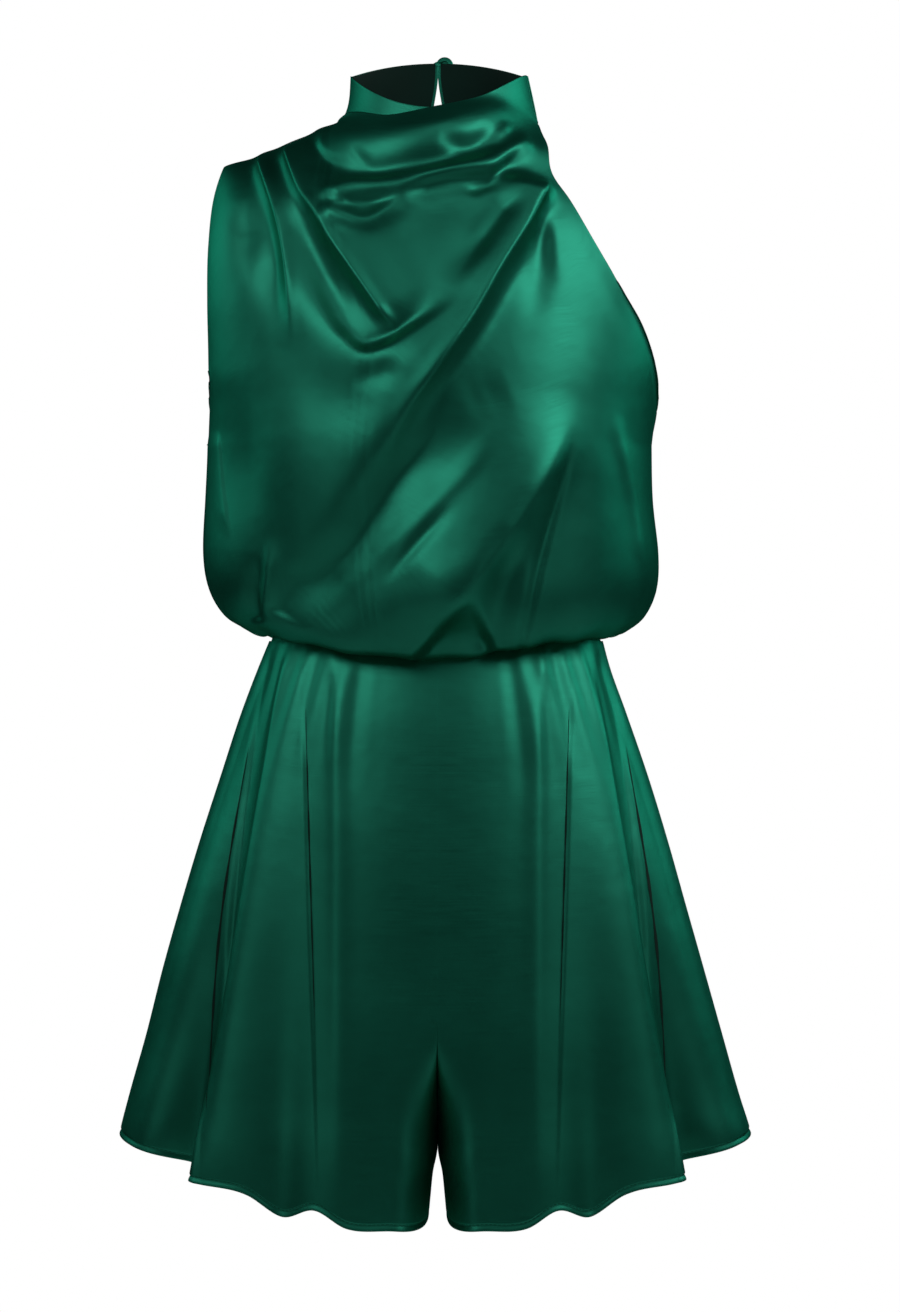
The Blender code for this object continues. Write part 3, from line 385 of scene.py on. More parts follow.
# ---- edges of the cloth ----
EDGE_RADIUS = 0.5  # radius of a turned edge
EDGE_TURNS = (45, 90, 135)  # degrees at which the turn has a row
EDGE_ROWS = 2  # rows of cloth that lie turned in behind an edge
RIM_RADIUS = 0.25  # the same of the neck band's rim
LIP_RADIUS = 3.2  # radius of the cowl's rolled lip
LIP_START, LIP_END = -78.0, 10.0  # the roll grows from the first x and is gone at the last one,
LIP_GROWTH, LIP_FALL = 14, 50  # over these widths
HEM_STITCH_RISE = 4.5  # height of the hem's stitching above its edge
STITCH_LENGTH, STITCH_GAP = 2.4, 0.7
STITCH_RADIUS = 0.16
STITCH_SIDES = 5
STITCH_PLACES = (0, 0.2, 0.8, 1.0)  # shares of its length, and of its radius there
STITCH_SWELL = (0.3, 1.0, 1.0, 0.3)
HEM_STEP = (0.9, 0.6)  # depth and half the width of the step that the stitches pull in

# ---- curves and shapes ----

def column(table, name):
    return np.array([getattr(row, name) for row in table], dtype=float)


def smooth_curve(places, values, at):
    """Read a smooth curve through the points (places, values) at every value of `at`."""
    at = np.clip(at, places[0], places[-1])
    slopes = np.gradient(values, places)
    first = np.clip(np.searchsorted(places, at, side="right") - 1, 0, len(places) - 2)
    step = places[first + 1] - places[first]
    t = (at - places[first]) / step
    start, end = values[first], values[first + 1]
    rise = (start * (1 + 2 * t) + slopes[first] * step * t) * (1 - t) ** 2
    return rise + (end * (3 - 2 * t) + slopes[first + 1] * step * (t - 1)) * t ** 2


def read(table, name, at, key="drop"):
    return smooth_curve(column(table, key), column(table, name), np.asarray(at, dtype=float))


def smooth_step(value):
    value = np.clip(value, 0, 1)
    return value * value * (3 - 2 * value)


def fade(ends, value):
    """0 before the first of the two `ends`, 1 after the second, and a smooth step between them."""
    return smooth_step((value - ends[0]) / (ends[1] - ends[0]))


def along(points, share):
    """Places on the smooth line through `points`, where `share` runs from 0 to 1 along its length."""
    points = np.array(points, dtype=float)
    steps = np.hypot(*np.diff(points, axis=0).T)
    places = np.concatenate(([0], np.cumsum(steps))) / steps.sum()
    return np.stack([smooth_curve(places, points[:, axis], share) for axis in (0, 1)], axis=-1)


def superellipse(share, power=SECTION_POWER):
    return np.maximum(1 - np.abs(share) ** power, 0) ** (1 / power)


def crowded(steps, turn):
    """Shares from 0 to 1 that crowd together at 0, over the first part (`turn`) of the steps."""
    place = np.linspace(0, 1, steps + 1)
    share = np.where(place < turn, place ** 2 / (2 * turn), place - turn / 2)
    return share / share[-1]


def full_spread(columns):
    """The same across a panel, crowding together where it turns round both sides of the body."""
    half = crowded(columns // 2, TURN)
    return np.concatenate([half, 2 - half[-2::-1]]) / 2


# ---- the form under the bodice ----

def torso_depth(x, drop, side):
    """Distance of the torso from the plane of the side seams, towards `side` (front or back)."""
    left, right = read(TORSO, "left", drop), read(TORSO, "right", drop)
    share = (x - (left + right) / 2) / ((right - left) / 2)
    seam = read(SHOULDER_LINE, "drop", np.abs(x), "distance")
    below = np.clip((drop - seam) / SHOULDER_ROUNDING, 0, 1)
    return read(TORSO, side, drop) * superellipse(share) * superellipse(1 - below)


def neck_depth(x, drop, side):
    share = x / read(NECK, "half_width", drop)
    return read(NECK, side, drop) * superellipse(share, NECK_POWER)


def bodice_depth(x, drop, side):
    torso, neck = torso_depth(x, drop, side), neck_depth(x, drop, side)
    return (torso ** FORM_BLEND + neck ** FORM_BLEND) ** (1 / FORM_BLEND)


def patch(top, bottom, start, end, across, down):
    """Fill the outline seen from the front: four edges, each a function of a share from 0 to 1."""
    u, v = across[None, :, None], down[:, None, None]
    first_row, last_row = top(across)[None], bottom(across)[None]
    first_column, last_column = start(down)[:, None], end(down)[:, None]
    corners = ((1 - u) * (1 - v) * first_row[:, :1] + u * (1 - v) * first_row[:, -1:]
               + (1 - u) * v * last_row[:, :1] + u * v * last_row[:, -1:])
    return (1 - v) * first_row + v * last_row + (1 - u) * first_column + u * last_column - corners


def upper_sheet(top, start, end, across, rows, side):
    """Bodice cloth between its top edge and the underarm level, as points in space."""
    low_left, low_right = start(np.array([1.0]))[0], end(np.array([1.0]))[0]

    def bottom(share):
        return low_left + (low_right - low_left) * share[:, None]

    down = crowded(rows, TOP_TURN)
    flat = patch(top, bottom, start, end, across, down)
    x, drop = flat[..., 0], flat[..., 1]
    depth = bodice_depth(x, drop, side)
    depth[0, np.abs(x[0]) >= SHOULDER_NECK] = 0
    return np.stack([x, FACING[side] * depth, -drop], axis=-1)


def lower_sheet(low_x, rows, side):
    """Bodice cloth from the underarm level down, round the blouson's bag and up to the waist seam."""
    level = np.linspace(0, len(BLOUSON) - 1, rows + 1)[1:, None]
    index = np.arange(len(BLOUSON), dtype=float)
    ring = {name: smooth_curve(index, column(BLOUSON, name), level) for name in Level._fields[1:]}
    start = BLOUSON[0]
    share = (low_x - (start.left + start.right) / 2) / ((start.right - start.left) / 2)
    share = np.clip(share, -1, 1)[None]
    x = (ring["left"] + ring["right"]) / 2 + share * (ring["right"] - ring["left"]) / 2
    depth = ring[side] * superellipse(share)
    middle = 1 - share ** 2
    drop = ring["side_drop"] + (ring[side + "_drop"] - ring["side_drop"]) * middle
    if side == "front":
        centre, width, rise = BLOUSON_RISE
        drop = drop - rise * np.exp(-((x - centre) / width) ** 2) * fade(RISE_LEVELS, level)
    return np.stack([x, FACING[side] * depth, -drop], axis=-1)


def bodice_sheet(upper, rows, side):
    """The upper sheet with its lower part, smoothed where they meet."""
    points = np.concatenate([upper, lower_sheet(upper[-1, :, X], rows, side)])
    kernel = np.exp(-(np.arange(-UNDERARM_BLEND, UNDERARM_BLEND + 1) / (UNDERARM_BLEND / 2)) ** 2)
    kept = points[..., :Z]
    padded = np.pad(kept, ((UNDERARM_BLEND, UNDERARM_BLEND), (0, 0), (0, 0)), mode="edge")
    smooth = sum(weight * padded[start:start + len(points)]
                 for start, weight in enumerate(kernel / kernel.sum()))
    rows_away = np.arange(len(points)) - (len(upper) - 1 - UNDERARM_ROWS_UP)
    across = np.linspace(0, 1, points.shape[1])
    inner = smooth_step((across if side == "back" else np.minimum(across, 1 - across)) / UNDERARM_SIDE)
    near = np.exp(-(rows_away / UNDERARM_BLEND) ** 2)[:, None] * inner
    points[..., :Z] += (smooth - kept) * near[..., None]
    return points


def surface_normals(points):
    """Unit normals of a grid of points, turned away from the grid's own vertical axis."""
    normals = np.cross(np.gradient(points, axis=0), np.gradient(points, axis=1))
    normals /= np.maximum(np.linalg.norm(normals, axis=-1, keepdims=True), 1e-9)
    outward = points - [points[..., 0].mean(), 0, points[..., 2].mean()]
    return normals if (normals * outward).sum() > 0 else -normals


# ---- folds ----

def fold_shift(x, drop, fold):
    """Height of one fold at every point (x, drop), and how far it shifts the point along x and drop."""
    path = along(fold.path, np.linspace(0, 1, FOLD_STEPS + 1))
    nearest = np.full(x.shape, np.inf)
    place, offset = np.zeros(x.shape), np.zeros(x.shape)
    right_x, right_drop = np.zeros(x.shape), np.zeros(x.shape)
    for step in range(FOLD_STEPS):
        begin, line = path[step], path[step + 1] - path[step]
        length = np.hypot(*line)
        to_x, to_drop = x - begin[0], drop - begin[1]
        share = np.clip((to_x * line[0] + to_drop * line[1]) / length ** 2, 0, 1)
        distance = np.hypot(to_x - share * line[0], to_drop - share * line[1])
        closer = distance < nearest
        nearest = np.where(closer, distance, nearest)
        place = np.where(closer, (step + share) / FOLD_STEPS, place)
        offset = np.where(closer, (to_x * line[1] - to_drop * line[0]) / length, offset)
        right_x = np.where(closer, -line[1] / length, right_x)
        right_drop = np.where(closer, line[0] / length, right_drop)
    width = (fold.left_width + fold.right_width) / 2 + (
        (fold.left_width - fold.right_width) / 2 * np.clip(offset / np.maximum(nearest, 1e-6), -1, 1))
    taper = smooth_step(place / fold.rise) if fold.rise else np.ones(x.shape)
    if fold.fall:
        taper = taper * smooth_step((1 - place) / fold.fall)
    profile = taper * np.exp(-(nearest / width) ** 2)
    return fold.height * profile, fold.lean * profile * right_x, fold.lean * profile * right_drop


def lower_level(points, lower_rows):
    """Place of each row of a bodice sheet: 0 at the underarm level, 1 at the waist seam."""
    return (np.arange(len(points)) - (len(points) - 1 - lower_rows)) / lower_rows


def swell_height(x, drop, swell):
    reach = np.where(drop < swell.drop, swell.up, swell.down)
    away = ((x - swell.x) / swell.across) ** 2
    return swell.height * np.exp(-away - ((drop - swell.drop) / reach) ** 2)


def tuck_in(points, tuck, facing, level):
    """Move the cloth of a bag straight back inside a triangle at its lower edge."""
    x, drop = points[..., X], -points[..., Z]
    share = (drop - tuck.drop) / (tuck.low - tuck.drop)
    start = tuck.x + (tuck.left - tuck.x) * share
    end = tuck.x + (tuck.right - tuck.x) * share
    sides = fade((-tuck.edge, tuck.edge), x - start) * fade((-tuck.edge, tuck.edge), end - x)
    depth = tuck.depth * sides * fade(TUCK_START, share) * (1 - fade(TUCK_END, level))[:, None]
    return np.stack([0 * x, -facing * depth, 0 * x], axis=-1)


def raise_folds(points, normals, folds, swells, facing, lower_rows):
    """Move a bodice sheet's points by its folds and swells; behind the side seams these die away."""
    x, drop = points[..., 0], -points[..., 2]
    behind = np.clip(-facing * points[..., 1], 0, None)
    start, end, share = TUCK_FADE
    level = lower_level(points, lower_rows)
    turned_under = (1 - (1 - share) * fade((start, end), level))[:, None]
    strength = np.exp(-(behind / RELIEF_FADE) ** 2) * turned_under
    height, shift_x, shift_drop = sum(np.array(fold_shift(x, drop, fold)) for fold in folds)
    height = height + sum(swell_height(x, drop, swell) for swell in swells)
    height = height * strength
    shift_x, shift_drop = shift_x * strength, shift_drop * strength
    return points + normals * height[..., None] + np.stack([shift_x, 0 * x, -shift_drop], axis=-1)


def keep_clear(points, axis, side):
    """Keep a piece's points on its own side of a seam, just clear of it."""
    points[..., axis] = side * np.maximum(side * points[..., axis], SEAM_SIDE)


def inner_part(across, width):
    """0 at both sides of a sheet, growing to 1 over this share of its width."""
    return smooth_step(np.minimum(across, 1 - across) / width)


def gather_wave(gathers, across):
    phase = gathers.count * across + gathers.wander * np.sin(gathers.turns * across)
    return gathers.height * np.cos(2 * math.pi * phase)


def gather_relief(gathers, columns, rows, lower_rows):
    """Small gathers that grow from the belly of the blouson down to its elastic."""
    across = np.linspace(0, 1, columns)[None, :]
    growth = np.zeros(rows)
    share = np.linspace(1 / lower_rows, 1, lower_rows)
    growth[-lower_rows:] = fade(GATHERS_GROW, share) * (1 - fade(GATHERS_FADE, share))
    return gather_wave(gathers, across) * growth[:, None] * inner_part(across, GATHERS_SIDE)


def drape(points, gathers, folds, swells, facing, lower_rows):
    """A bodice sheet with its gathers, folds and swells, and the normals that they were raised along."""
    normals = surface_normals(points)
    relief = gather_relief(gathers, points.shape[1], len(points), lower_rows)
    return raise_folds(points + normals * relief[..., None], normals, folds, swells, facing,
                       lower_rows), normals


# ---- meshes ----

def add_object(name, data):
    holder = bpy.data.objects.new(name, data)
    SCENE.collection.objects.link(holder)
    return holder


def add_mesh(name, points, faces):
    mesh = bpy.data.meshes.new(name)
    mesh.from_pydata((points.reshape(-1, 3) * MM).tolist(), [], faces)
    mesh.shade_smooth()
    return add_object(name, mesh)


def turned_edge(points, normals, radius):
    """Add rows after the last one, where the cloth turns in and lies behind itself."""
    radius = np.broadcast_to(np.asarray(radius, dtype=float), points.shape[1:2])[:, None]
    onward = points[-1] - points[-2]
    onward /= np.maximum(np.linalg.norm(onward, axis=-1, keepdims=True), 1e-9)
    rows = [points]
    for turn in np.radians(EDGE_TURNS):
        row = points[-1] + onward * radius * math.sin(turn) - normals[-1] * radius * (1 - math.cos(turn))
        rows.append(row[None])
    for back in range(EDGE_ROWS):
        rows.append((points[-1 - back] - normals[-1 - back] * 2 * radius)[None])
    return np.concatenate(rows)


def turn_edges(points, normals, top=EDGE_RADIUS, bottom=EDGE_RADIUS, sides=EDGE_RADIUS):
    """Turn in the four edges of a grid; an edge whose radius is None stays as it is."""
    for radius, sideways, way in ((bottom, False, 1), (top, False, -1), (sides, True, 1),
                                  (sides, True, -1)):
        if radius is None:
            continue
        grids = [grid.swapaxes(0, 1) if sideways else grid for grid in (points, normals)]
        points, normals = (grid[::way] for grid in grids)
        rows = len(points)
        points = turned_edge(points, normals, radius)
        normals = np.concatenate([normals, np.repeat(normals[-1:], len(points) - rows, axis=0)])
        grids = [grid[::way] for grid in (points, normals)]
        points, normals = (grid.swapaxes(0, 1) if sideways else grid for grid in grids)
    return points


def arc_lengths(points, axis):
    steps = np.linalg.norm(np.diff(points, axis=axis), axis=-1)
    zero = np.zeros_like(np.take(steps, [0], axis=axis))
    return np.concatenate([zero, np.cumsum(steps, axis=axis)], axis=axis)


def cloth_mesh(name, points, outward, closed=False):
    """A sheet of squares over a grid of points, with its own lengths as the map for the weave."""
    rows, columns = points.shape[:2]
    row, col = np.meshgrid(np.arange(rows - 1), np.arange(columns - 1), indexing="ij")
    corners = ((row, col), (row + 1, col), (row + 1, col + 1), (row, col + 1))
    if not outward:
        corners = corners[::-1]
    kept = columns - 1 if closed else columns
    squares = np.stack([r * kept + c % kept for r, c in corners], axis=-1).reshape(-1, 4)
    cloth = add_mesh(name, points[:, :kept], squares.tolist())
    grain = np.stack([arc_lengths(points, 1), arc_lengths(points, 0)], axis=-1) * MM
    layer = cloth.data.uv_layers.new(name="grain")
    grain = np.stack([grain[r, c] for r, c in corners], axis=2)
    layer.uv.foreach_set("vector", grain.astype(np.float32).ravel())
    cloth.data.update()
    return cloth


def dress(piece, material, slot, *nodes):
    """Give a piece its finish and put it in the place of its solids."""
    piece.data.materials.clear()
    piece.data.materials.append(material)
    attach(piece, "root")
    if nodes:
        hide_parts(*nodes)
    return piece


Cut = namedtuple("Cut", "width length area held")  # a piece of cloth before it is sewn, in metres


def sew(name, points, node, finish, top=EDGE_RADIUS, bottom=EDGE_RADIUS, sides=EDGE_RADIUS,
        closed=False, lining=LINING_DEPTH):
    """Make one cut piece: its face with turned edges, and its duller reverse behind it, whose very dark
    colour is partly painted shade.
    """
    normals = surface_normals(points)
    middle = (len(points) // 2, points.shape[1] // 3)
    here = points[middle]
    down, onward = points[middle[0] + 1, middle[1]] - here, points[middle[0], middle[1] + 1] - here
    outward = np.cross(down, onward) @ normals[middle] > 0
    face = cloth_mesh(name, turn_edges(points, normals, top, bottom, sides), outward, closed)
    dress(face, finish.face, "satin", node)
    inner = (points - normals * lining)[::LINING_STEP, ::LINING_STEP]
    reverse = dress(cloth_mesh(name + "_reverse", inner, not outward, closed), finish.reverse, "satin")
    return face


def read_line(line, places, at):
    """Read a line of points, which lie at `places` along it, at other places."""
    return np.stack([np.interp(at, places, line[:, axis]) for axis in (X, Y, Z)], axis=-1)


def stitches(name, path, normals, material):
    """A row of machine stitches along a path of points."""
    steps = np.linalg.norm(np.diff(path, axis=0), axis=-1)
    places = np.concatenate([[0], np.cumsum(steps)])
    count = int(places[-1] / (STITCH_LENGTH + STITCH_GAP))
    starts = (np.arange(count) + 0.5) * places[-1] / count - STITCH_LENGTH / 2
    shares, swell = np.array(STITCH_PLACES), np.array(STITCH_SWELL)
    at = starts[:, None] + shares * STITCH_LENGTH
    centre, out = read_line(path, places, at), read_line(normals, places, at)
    out /= np.linalg.norm(out, axis=-1, keepdims=True)
    onward = centre[:, -1:] - centre[:, :1]
    across = np.cross(out, onward / np.linalg.norm(onward, axis=-1, keepdims=True))
    angle = 2 * math.pi * np.arange(STITCH_SIDES) / STITCH_SIDES
    spokes = (out[:, :, None] * np.cos(angle)[:, None] + across[:, :, None] * np.sin(angle)[:, None])
    rings = centre[:, :, None] + spokes * (STITCH_RADIUS * swell)[None, :, None, None]
    corners = np.arange(rings[..., 0].size).reshape(rings.shape[:3])
    beside = np.roll(corners, -1, axis=2)
    sides = np.stack([corners[:, :-1], beside[:, :-1], beside[:, 1:], corners[:, 1:]], axis=-1)
    ends = np.concatenate([corners[:, 0, ::-1], corners[:, -1]])
    faces = sides.reshape(-1, 4).tolist() + ends.tolist()
    return dress(add_mesh(name, rings, faces), material, "satin")


# ---- the pieces of the bodice ----

def front_bodice(finish):
    across = full_spread(FRONT_COLUMNS)
    upper = upper_sheet(lambda s: along(FRONT_TOP, s), lambda s: along(LEFT_EDGE, s),
                        lambda s: along(RIGHT_EDGE, s), across, FRONT_UPPER_ROWS, "front")
    points = bodice_sheet(upper, FRONT_LOWER_ROWS, "front")
    facing = FACING["front"]
    points, _ = drape(points, BLOUSON_GATHERS, FRONT_FOLDS, FRONT_SWELLS, facing, FRONT_LOWER_ROWS)
    points = points + tuck_in(points, FRONT_TUCK, facing, lower_level(points, FRONT_LOWER_ROWS))
    keep_clear(points, Y, facing)
    x = points[0, :, X]
    lip = EDGE_RADIUS + (LIP_RADIUS - EDGE_RADIUS) * fade((LIP_START, LIP_START + LIP_GROWTH), x) * (
        1 - fade((LIP_END - LIP_FALL, LIP_END), x))
    return sew("front_cloth", points, "front_bodice", finish, top=lip,
               bottom=None)


def back_bodice(name, side, finish, node):
    """One back half: side -1 has the covered shoulder, +1 the halter-cut armhole."""
    across = crowded(BACK_COLUMNS, TURN)
    outline = LEFT_EDGE if side < 0 else RIGHT_EDGE[BACK_EDGE_RIGHT_START - 1:]
    top_line = BACK_TOP_LEFT if side < 0 else BACK_TOP_RIGHT

    def centre_edge(share):
        start = top_line[-1][1]
        drop = start + (BLOUSON[0].side_drop - start) * share
        return np.stack([side * read(KEYHOLE, "half_width", drop), drop], axis=-1)

    def top(share):
        line = along(top_line, share)
        end = centre_edge(np.zeros(1))[0] - line[-1]
        return line + end * share[:, None]

    def outer_edge(share):
        line = along(outline, share)
        return line + (top_line[0] - line[0]) * (1 - share[:, None])

    upper = upper_sheet(top, outer_edge, centre_edge, across, BACK_UPPER_ROWS, "back")
    points = bodice_sheet(upper, BACK_LOWER_ROWS, "back")
    points[BACK_UPPER_ROWS:, -1, X] = side * SEAM_SIDE
    points, normals = drape(points, BACK_GATHERS, BACK_FOLDS, BACK_SWELLS, FACING["back"],
                            BACK_LOWER_ROWS)
    front_folds = raise_folds(points, normals, FRONT_FOLDS, FRONT_SWELLS, FACING["front"],
                              BACK_LOWER_ROWS) - points
    points = points + front_folds
    keep_clear(points, Y, FACING["back"])
    keep_clear(points, X, side)
    return sew(name, points, node, finish, bottom=None)


def neck_band(finish):
    """Upright band, a ring that is open at the centre back."""
    turn = np.linspace(0, 2 * math.pi, BAND_COLUMNS + 1)
    front = np.clip(-np.cos(turn), 0, 1) ** RIM_POWER
    back = np.clip(np.cos(turn), 0, 1) ** RIM_POWER
    rim, height = (at_side + (at_front - at_side) * front + (at_back - at_side) * back
                   for at_front, at_side, at_back in (BAND_RIM_DROP, BAND_HEIGHT))
    drop = rim + height * np.linspace(0, 1, BAND_ROWS + 1)[:, None]
    half_width = read(BAND, "half_width", drop)
    gap = np.arcsin(read(KEYHOLE, "half_width", drop) / half_width)
    angle = gap + (2 * math.pi - 2 * gap) * turn / (2 * math.pi)
    depth = np.where(np.cos(angle) < 0, read(BAND, "front", drop), read(BAND, "back", drop))
    points = np.stack([half_width * np.sin(angle), depth * np.cos(angle), -drop], axis=-1)
    return sew("neck_band_cloth", points, "neck_band", finish,
               top=RIM_RADIUS, bottom=None)


def waistband(finish):
    turn = np.linspace(0, 2 * math.pi, WAISTBAND_COLUMNS + 1)
    drop = np.linspace(WAISTBAND[0].drop, WAISTBAND[-1].drop, WAISTBAND_ROWS + 1)[:, None]
    share = np.cos(turn)
    left, right = read(WAISTBAND, "left", drop), read(WAISTBAND, "right", drop)
    depth = np.where(np.sin(turn) < 0, read(WAISTBAND, "front", drop), read(WAISTBAND, "back", drop))
    x = (left + right) / 2 + share * (right - left) / 2
    y = np.sign(np.sin(turn)) * depth * superellipse(share)
    points = np.stack([x, y, np.broadcast_to(-drop, x.shape)], axis=-1)
    return sew("waistband_cloth", points, "waistband", finish,
               top=None, bottom=None, sides=None, closed=True)


# ---- shorts ----

def hang(values, drop):
    """Read the three values of a crease, at the waist, half way and at the hem, at every drop."""
    return smooth_curve(np.array(CREASE_DROPS, dtype=float), np.array(values, dtype=float), drop)


def crease_relief(points, across, down, creases):
    """Height of the hanging creases and of the waist's gathers over a leg panel."""
    x, drop = np.abs(points[..., X]), -points[..., Z]
    relief = np.zeros(x.shape)
    for crease in creases:
        at = hang((crease.at_waist, crease.at_middle, crease.at_hem), drop)
        height = hang((crease.waist, crease.middle, crease.hem), drop)
        width = np.where(x > at, crease.outer_width, crease.inner_width)
        relief += height * np.exp(-((x - at) / width) ** 2)
    reach = smooth_step(1 - down / WAIST_GATHER_REACH) * fade(GATHERED_SIDES, x)
    relief += gather_wave(WAIST_GATHERS, across) * reach
    top = CREASE_TOP_SHARE + (1 - CREASE_TOP_SHARE) * smooth_step(down / CREASE_TOP)
    return relief * inner_part(across, CREASE_EDGE) * top


def shorts_sheet(side, half, across, down):
    """Outer points of a leg panel, from its side seam (0) round to the centre seam and inseam (1)."""
    hem = read(HEM, half + "_drop", across, "across")[None]
    across, down = across[None], down[:, None]
    drop = SHORTS_TOP + (hem - SHORTS_TOP) * down
    outer = side * read(SHORTS, "left" if side < 0 else "right", drop)
    gap = read(INNER_LEG, "half_gap", drop)
    x = outer + (gap - outer) * across
    parted = fade(PARTING_DROPS, drop) ** PARTING_POWER
    turned = np.clip((x - gap) / read(INNER_LEG, "rounding", drop), 0, 1)
    inner = 1 - parted + parted * superellipse(1 - turned, LEG_POWER)
    y = read(SHORTS, half, drop) * superellipse(x / outer) * inner
    return np.stack([side * x, FACING[half] * y, -drop], axis=-1)


def painted_shade_strip(name, points, normals, slit, material):
    """A thin uneven strip of painted shade, in the reverse's dark colour, laid along a slit."""
    crease = next(crease for crease in FRONT_CREASES if crease.name == slit.crease)
    sides = []
    for row, out in zip(points, normals):
        x = np.abs(row[:, X])
        near = row[np.abs(x - crease.at_middle).argmin()]
        share = (-near[Z] - slit.start) / (slit.end - slit.start)
        if not 0 < share < 1:
            continue
        at = hang((crease.at_waist, crease.at_middle, crease.at_hem), -near[Z])
        uneven = 1 - SLIT_UNEVEN + SLIT_UNEVEN * math.sin(SLIT_WAVES * share)
        width = slit.width * math.sin(math.pi * share) ** SLIT_TAPER * uneven
        sides.append([read_line(row + SLIT_LIFT * out, -x, -place)
                      for place in (at + width / 2, at - width / 2)])
    strip = cloth_mesh(name, np.array(sides), outward=True)
    return dress(strip, material, "satin")


def shorts_panel(name, side, half, finish, node):
    across = full_spread(SHORTS_COLUMNS[half])
    down = np.interp(np.linspace(0, 1, SHORTS_ROWS + 1), *zip(*SHORTS_ROW_PLACES))
    points = shorts_sheet(side, half, across, down)
    normals = surface_normals(points)
    creases = FRONT_CREASES if half == "front" else BACK_CREASES
    relief = crease_relief(points, across[None], down[:, None], creases)
    points = points + normals * relief[..., None] * [1, 1, 0]
    keep_clear(points, Y, FACING[half])
    keep_clear(points, X, side)
    above_edge = arc_lengths(points[::-1], 0)[::-1]
    depth, reach = HEM_STEP
    step = fade((HEM_STITCH_RISE + reach, HEM_STITCH_RISE - reach), above_edge)
    step = step * smooth_step(above_edge / HEM_STITCH_RISE)
    points = points - surface_normals(points) * (depth * step)[..., None]
    normals = surface_normals(points)
    row = np.abs(above_edge - HEM_STITCH_RISE).argmin(axis=0)
    line = (row, np.arange(points.shape[1]))
    extra = [stitches(name + "_hem_stitches", points[line] + normals[line] * STITCH_RADIUS / 2,
                      normals[line], finish.thread)]
    # painted shade: dark strips laid along the pleat slits and the flute creases
    if half == "front":
        extra += [painted_shade_strip(f"{name}_{slit.crease}", points, normals, slit, finish.reverse)
                  for slit in FRONT_SHADE_STRIPS]
    return sew(name, points, node, finish, top=None,
               lining=SHORTS_LINING_DEPTH)


# ---- materials ----

MIX_FACTOR, MIX_FIRST, MIX_SECOND, MIX_RESULT = 0, 6, 7, 2  # places of a mix node's colour sockets


class Nodes:
    """Short ways to add nodes to a material and to join them."""

    def __init__(self, name):
        self.material = bpy.data.materials.new(name)
        self.material.use_nodes = True
        self.tree = self.material.node_tree
        self.shader = self.tree.nodes["Principled BSDF"]

    def add(self, kind, **settings):
        node = self.tree.nodes.new(kind)
        for key, value in settings.items():
            if key in node.inputs:
                node.inputs[key].default_value = value
            else:
                setattr(node, key, value)
        return node

    def link(self, source, target):
        self.tree.links.new(source, target)

    def noise(self, place, grain):
        """Noise whose patches are 1/scale metres across, shortened along each axis by its stretch."""
        scale = tuple(grain.scale * part for part in grain.stretch)
        mapping = self.add("ShaderNodeMapping", Scale=scale)
        self.link(place, mapping.inputs["Vector"])
        noise = self.add("ShaderNodeTexNoise", Scale=1.0, Detail=grain.detail)
        self.link(mapping.outputs["Vector"], noise.inputs["Vector"])
        return noise.outputs["Fac"]

    def spread(self, factor, low=0.0, high=1.0):
        """Stretch a factor's middle range, where a noise's values lie, to the range from low to high."""
        first, last = NOISE_RANGE
        ramp = self.add("ShaderNodeMapRange",
                        **{"From Min": first, "From Max": last, "To Min": low, "To Max": high})
        self.link(factor, ramp.inputs["Value"])
        return ramp.outputs["Result"]

    def colour(self, place, grain, dark, light):
        """Mottle the surface between two colours."""
        mix = self.add("ShaderNodeMix", data_type="RGBA")
        mix.inputs[MIX_FIRST].default_value, mix.inputs[MIX_SECOND].default_value = dark, light
        self.link(self.spread(self.noise(place, grain)), mix.inputs[MIX_FACTOR])
        self.link(mix.outputs[MIX_RESULT], self.shader.inputs["Base Color"])

    def dull(self, roughness, specular):
        self.shader.inputs["Roughness"].default_value = roughness
        self.shader.inputs["Specular IOR Level"].default_value = specular

    def bump(self, height, distance, below=None):
        bump = self.add("ShaderNodeBump", Distance=distance)
        bump.inputs["Strength"].default_value = 1.0
        self.link(height, bump.inputs["Height"])
        if below:
            self.link(below, bump.inputs["Normal"])
        return bump.outputs["Normal"]


def satin_material(name, sheen, use_map=True):
    """Satin: a tinted metallic sheen, slubs along the weft, a fine float weave and faint wrinkles."""
    nodes = Nodes(name)
    place = nodes.add("ShaderNodeTexCoord").outputs["Object"]
    cloth = place
    if use_map:
        cloth = nodes.add("ShaderNodeUVMap", uv_map="grain").outputs["UV"]
        tangent = nodes.add("ShaderNodeTangent", direction_type="UV_MAP", uv_map="grain")
        nodes.link(tangent.outputs["Tangent"], nodes.shader.inputs["Tangent"])
    nodes.colour(place, PATCHES, SATIN_DARK, SATIN_LIGHT)
    slubs = nodes.noise(cloth, SLUBS)
    roughest, smoothest = sheen.roughness + ROUGHNESS_SPREAD, sheen.roughness - ROUGHNESS_SPREAD
    nodes.link(nodes.spread(slubs, smoothest, roughest), nodes.shader.inputs["Roughness"])
    normal = nodes.bump(nodes.noise(place, WRINKLES), WRINKLE_HEIGHT)
    normal = nodes.bump(slubs, SLUB_HEIGHT, normal)
    normal = nodes.bump(nodes.noise(cloth, FLOATS), FLOAT_HEIGHT, normal)
    nodes.link(normal, nodes.shader.inputs["Normal"])
    nodes.shader.inputs["Metallic"].default_value = sheen.metallic
    nodes.shader.inputs["Anisotropic"].default_value = sheen.anisotropic
    nodes.shader.inputs["Specular Tint"].default_value = EDGE_TINT
    return nodes.material


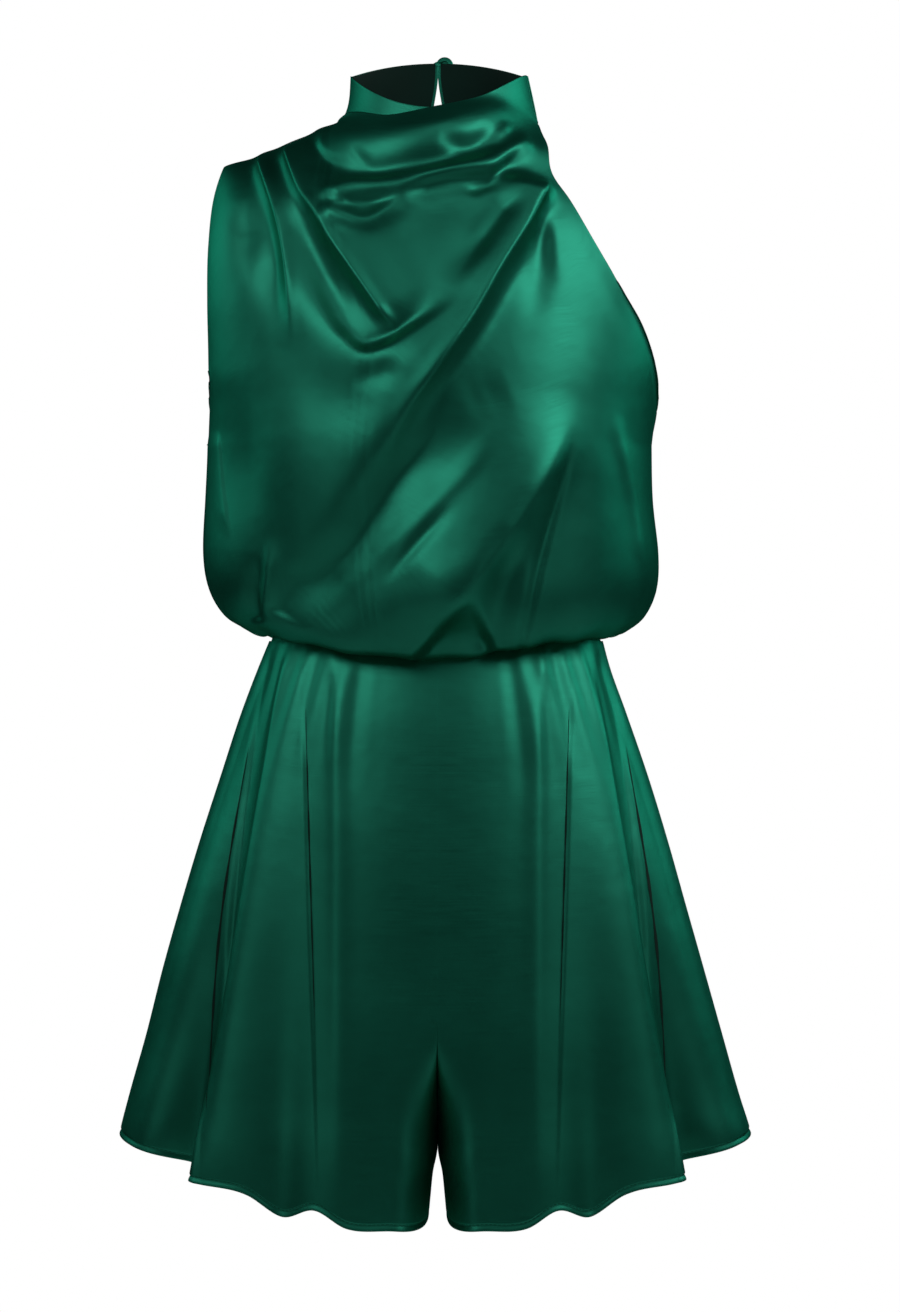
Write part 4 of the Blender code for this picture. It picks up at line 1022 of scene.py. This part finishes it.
def reverse_and_shade_material():
    """The dull side of the satin, with its warp-faced weave; its very dark colour is partly painted
    shade, for the inside of the neck band and the strips along the slits.
    """
    nodes = Nodes("satin_reverse_and_painted_shade")
    cloth = nodes.add("ShaderNodeUVMap", uv_map="grain").outputs["UV"]
    twill = nodes.noise(cloth, REVERSE_TWILL)
    nodes.colour(nodes.add("ShaderNodeTexCoord").outputs["Object"], REVERSE_PATCHES, REVERSE_SHADE_DARK,
                 REVERSE_SHADE_LIGHT)
    nodes.link(nodes.bump(twill, FLOAT_HEIGHT), nodes.shader.inputs["Normal"])
    nodes.dull(*REVERSE_DULLNESS)
    return nodes.material


def mottled_material(name, grain, dark, light, dullness):
    nodes = Nodes(name)
    nodes.colour(nodes.add("ShaderNodeTexCoord").outputs["Object"], grain, dark, light)
    nodes.dull(*dullness)
    return nodes.material


# ---- studio ----

def make_camera():
    camera = bpy.data.cameras.new("camera")
    camera.sensor_fit = "VERTICAL"
    camera.sensor_height = SENSOR_HEIGHT
    camera.lens = SENSOR_HEIGHT / VIEW_HEIGHT * CAMERA_DISTANCE
    holder = add_object("camera", camera)
    holder.location = CAMERA_AIM - Vector((0, CAMERA_DISTANCE, 0))
    holder.rotation_euler = (math.pi / 2, 0, 0)
    SCENE.camera = holder


def add_softbox(box):
    light = bpy.data.lights.new(box.name, "AREA")
    light.shape = "RECTANGLE"
    light.size, light.size_y, light.energy = box.width, box.height, box.power
    holder = add_object(box.name, light)
    azimuth, elevation = math.radians(box.azimuth), math.radians(box.elevation)
    level = SOFTBOX_DISTANCE * math.cos(elevation)
    holder.location = LIGHT_AIM + Vector((level * math.sin(azimuth), -level * math.cos(azimuth),
                                          SOFTBOX_DISTANCE * math.sin(elevation)))
    holder.rotation_euler = (LIGHT_AIM - holder.location).to_track_quat("-Z", "Y").to_euler()


def make_studio():
    SCENE.view_settings.view_transform = "Standard"
    world = bpy.data.worlds.new("studio")
    SCENE.world = world
    world.use_nodes = True
    tree = world.node_tree
    background = tree.nodes["Background"]
    background.inputs["Color"].default_value = (1, 1, 1, 1)
    paths = tree.nodes.new("ShaderNodeLightPath")
    strength = tree.nodes.new("ShaderNodeMapRange")
    strength.inputs["To Min"].default_value = FILL_STRENGTH
    strength.inputs["To Max"].default_value = 1.0
    tree.links.new(paths.outputs["Is Camera Ray"], strength.inputs["Value"])
    tree.links.new(strength.outputs["Result"], background.inputs["Strength"])
    for box in SOFTBOXES:
        add_softbox(box)
    bpy.ops.mesh.primitive_circle_add(vertices=FLOOR_CORNERS, radius=FLOOR_RADIUS, fill_type="NGON",
                                      location=(0, 0, FLOOR_HEIGHT))
    floor = bpy.context.object
    floor.name = "floor"
    floor.data.materials.append(mottled_material("pale_floor", FLOOR_MOTTLE, FLOOR_DARK, FLOOR_LIGHT,
                                                 FLOOR_DULLNESS))


Finish = namedtuple("Finish", "face reverse thread")


def main():
    make_camera()
    make_studio()
    finish = Finish(satin_material("emerald_satin", SATIN_SHEEN), reverse_and_shade_material(),
                    mottled_material("sewing_thread_and_painted_shade", THREAD_TWIST, THREAD_SHADE_DARK, THREAD_SHADE_LIGHT,
                                     THREAD_DULLNESS))
    front_bodice(finish)
    back_bodice("back_left_cloth", -1, finish, "back_bodice_left")
    back_bodice("back_right_cloth", 1, finish, "back_bodice_right")
    neck_band(finish)
    waistband(finish)
    for half in ("front", "back"):
        for side, word in ((-1, "left"), (1, "right")):
            shorts_panel(f"shorts_{half}_{word}_cloth", side, half, finish, f"shorts_{half}_{word}")
    trim = satin_material("covered_button_satin", BUTTON_SHEEN, use_map=False)
    for node in ("nape_button", "button_loop"):
        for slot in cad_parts[node].material_slots:
            slot.material = trim


main()
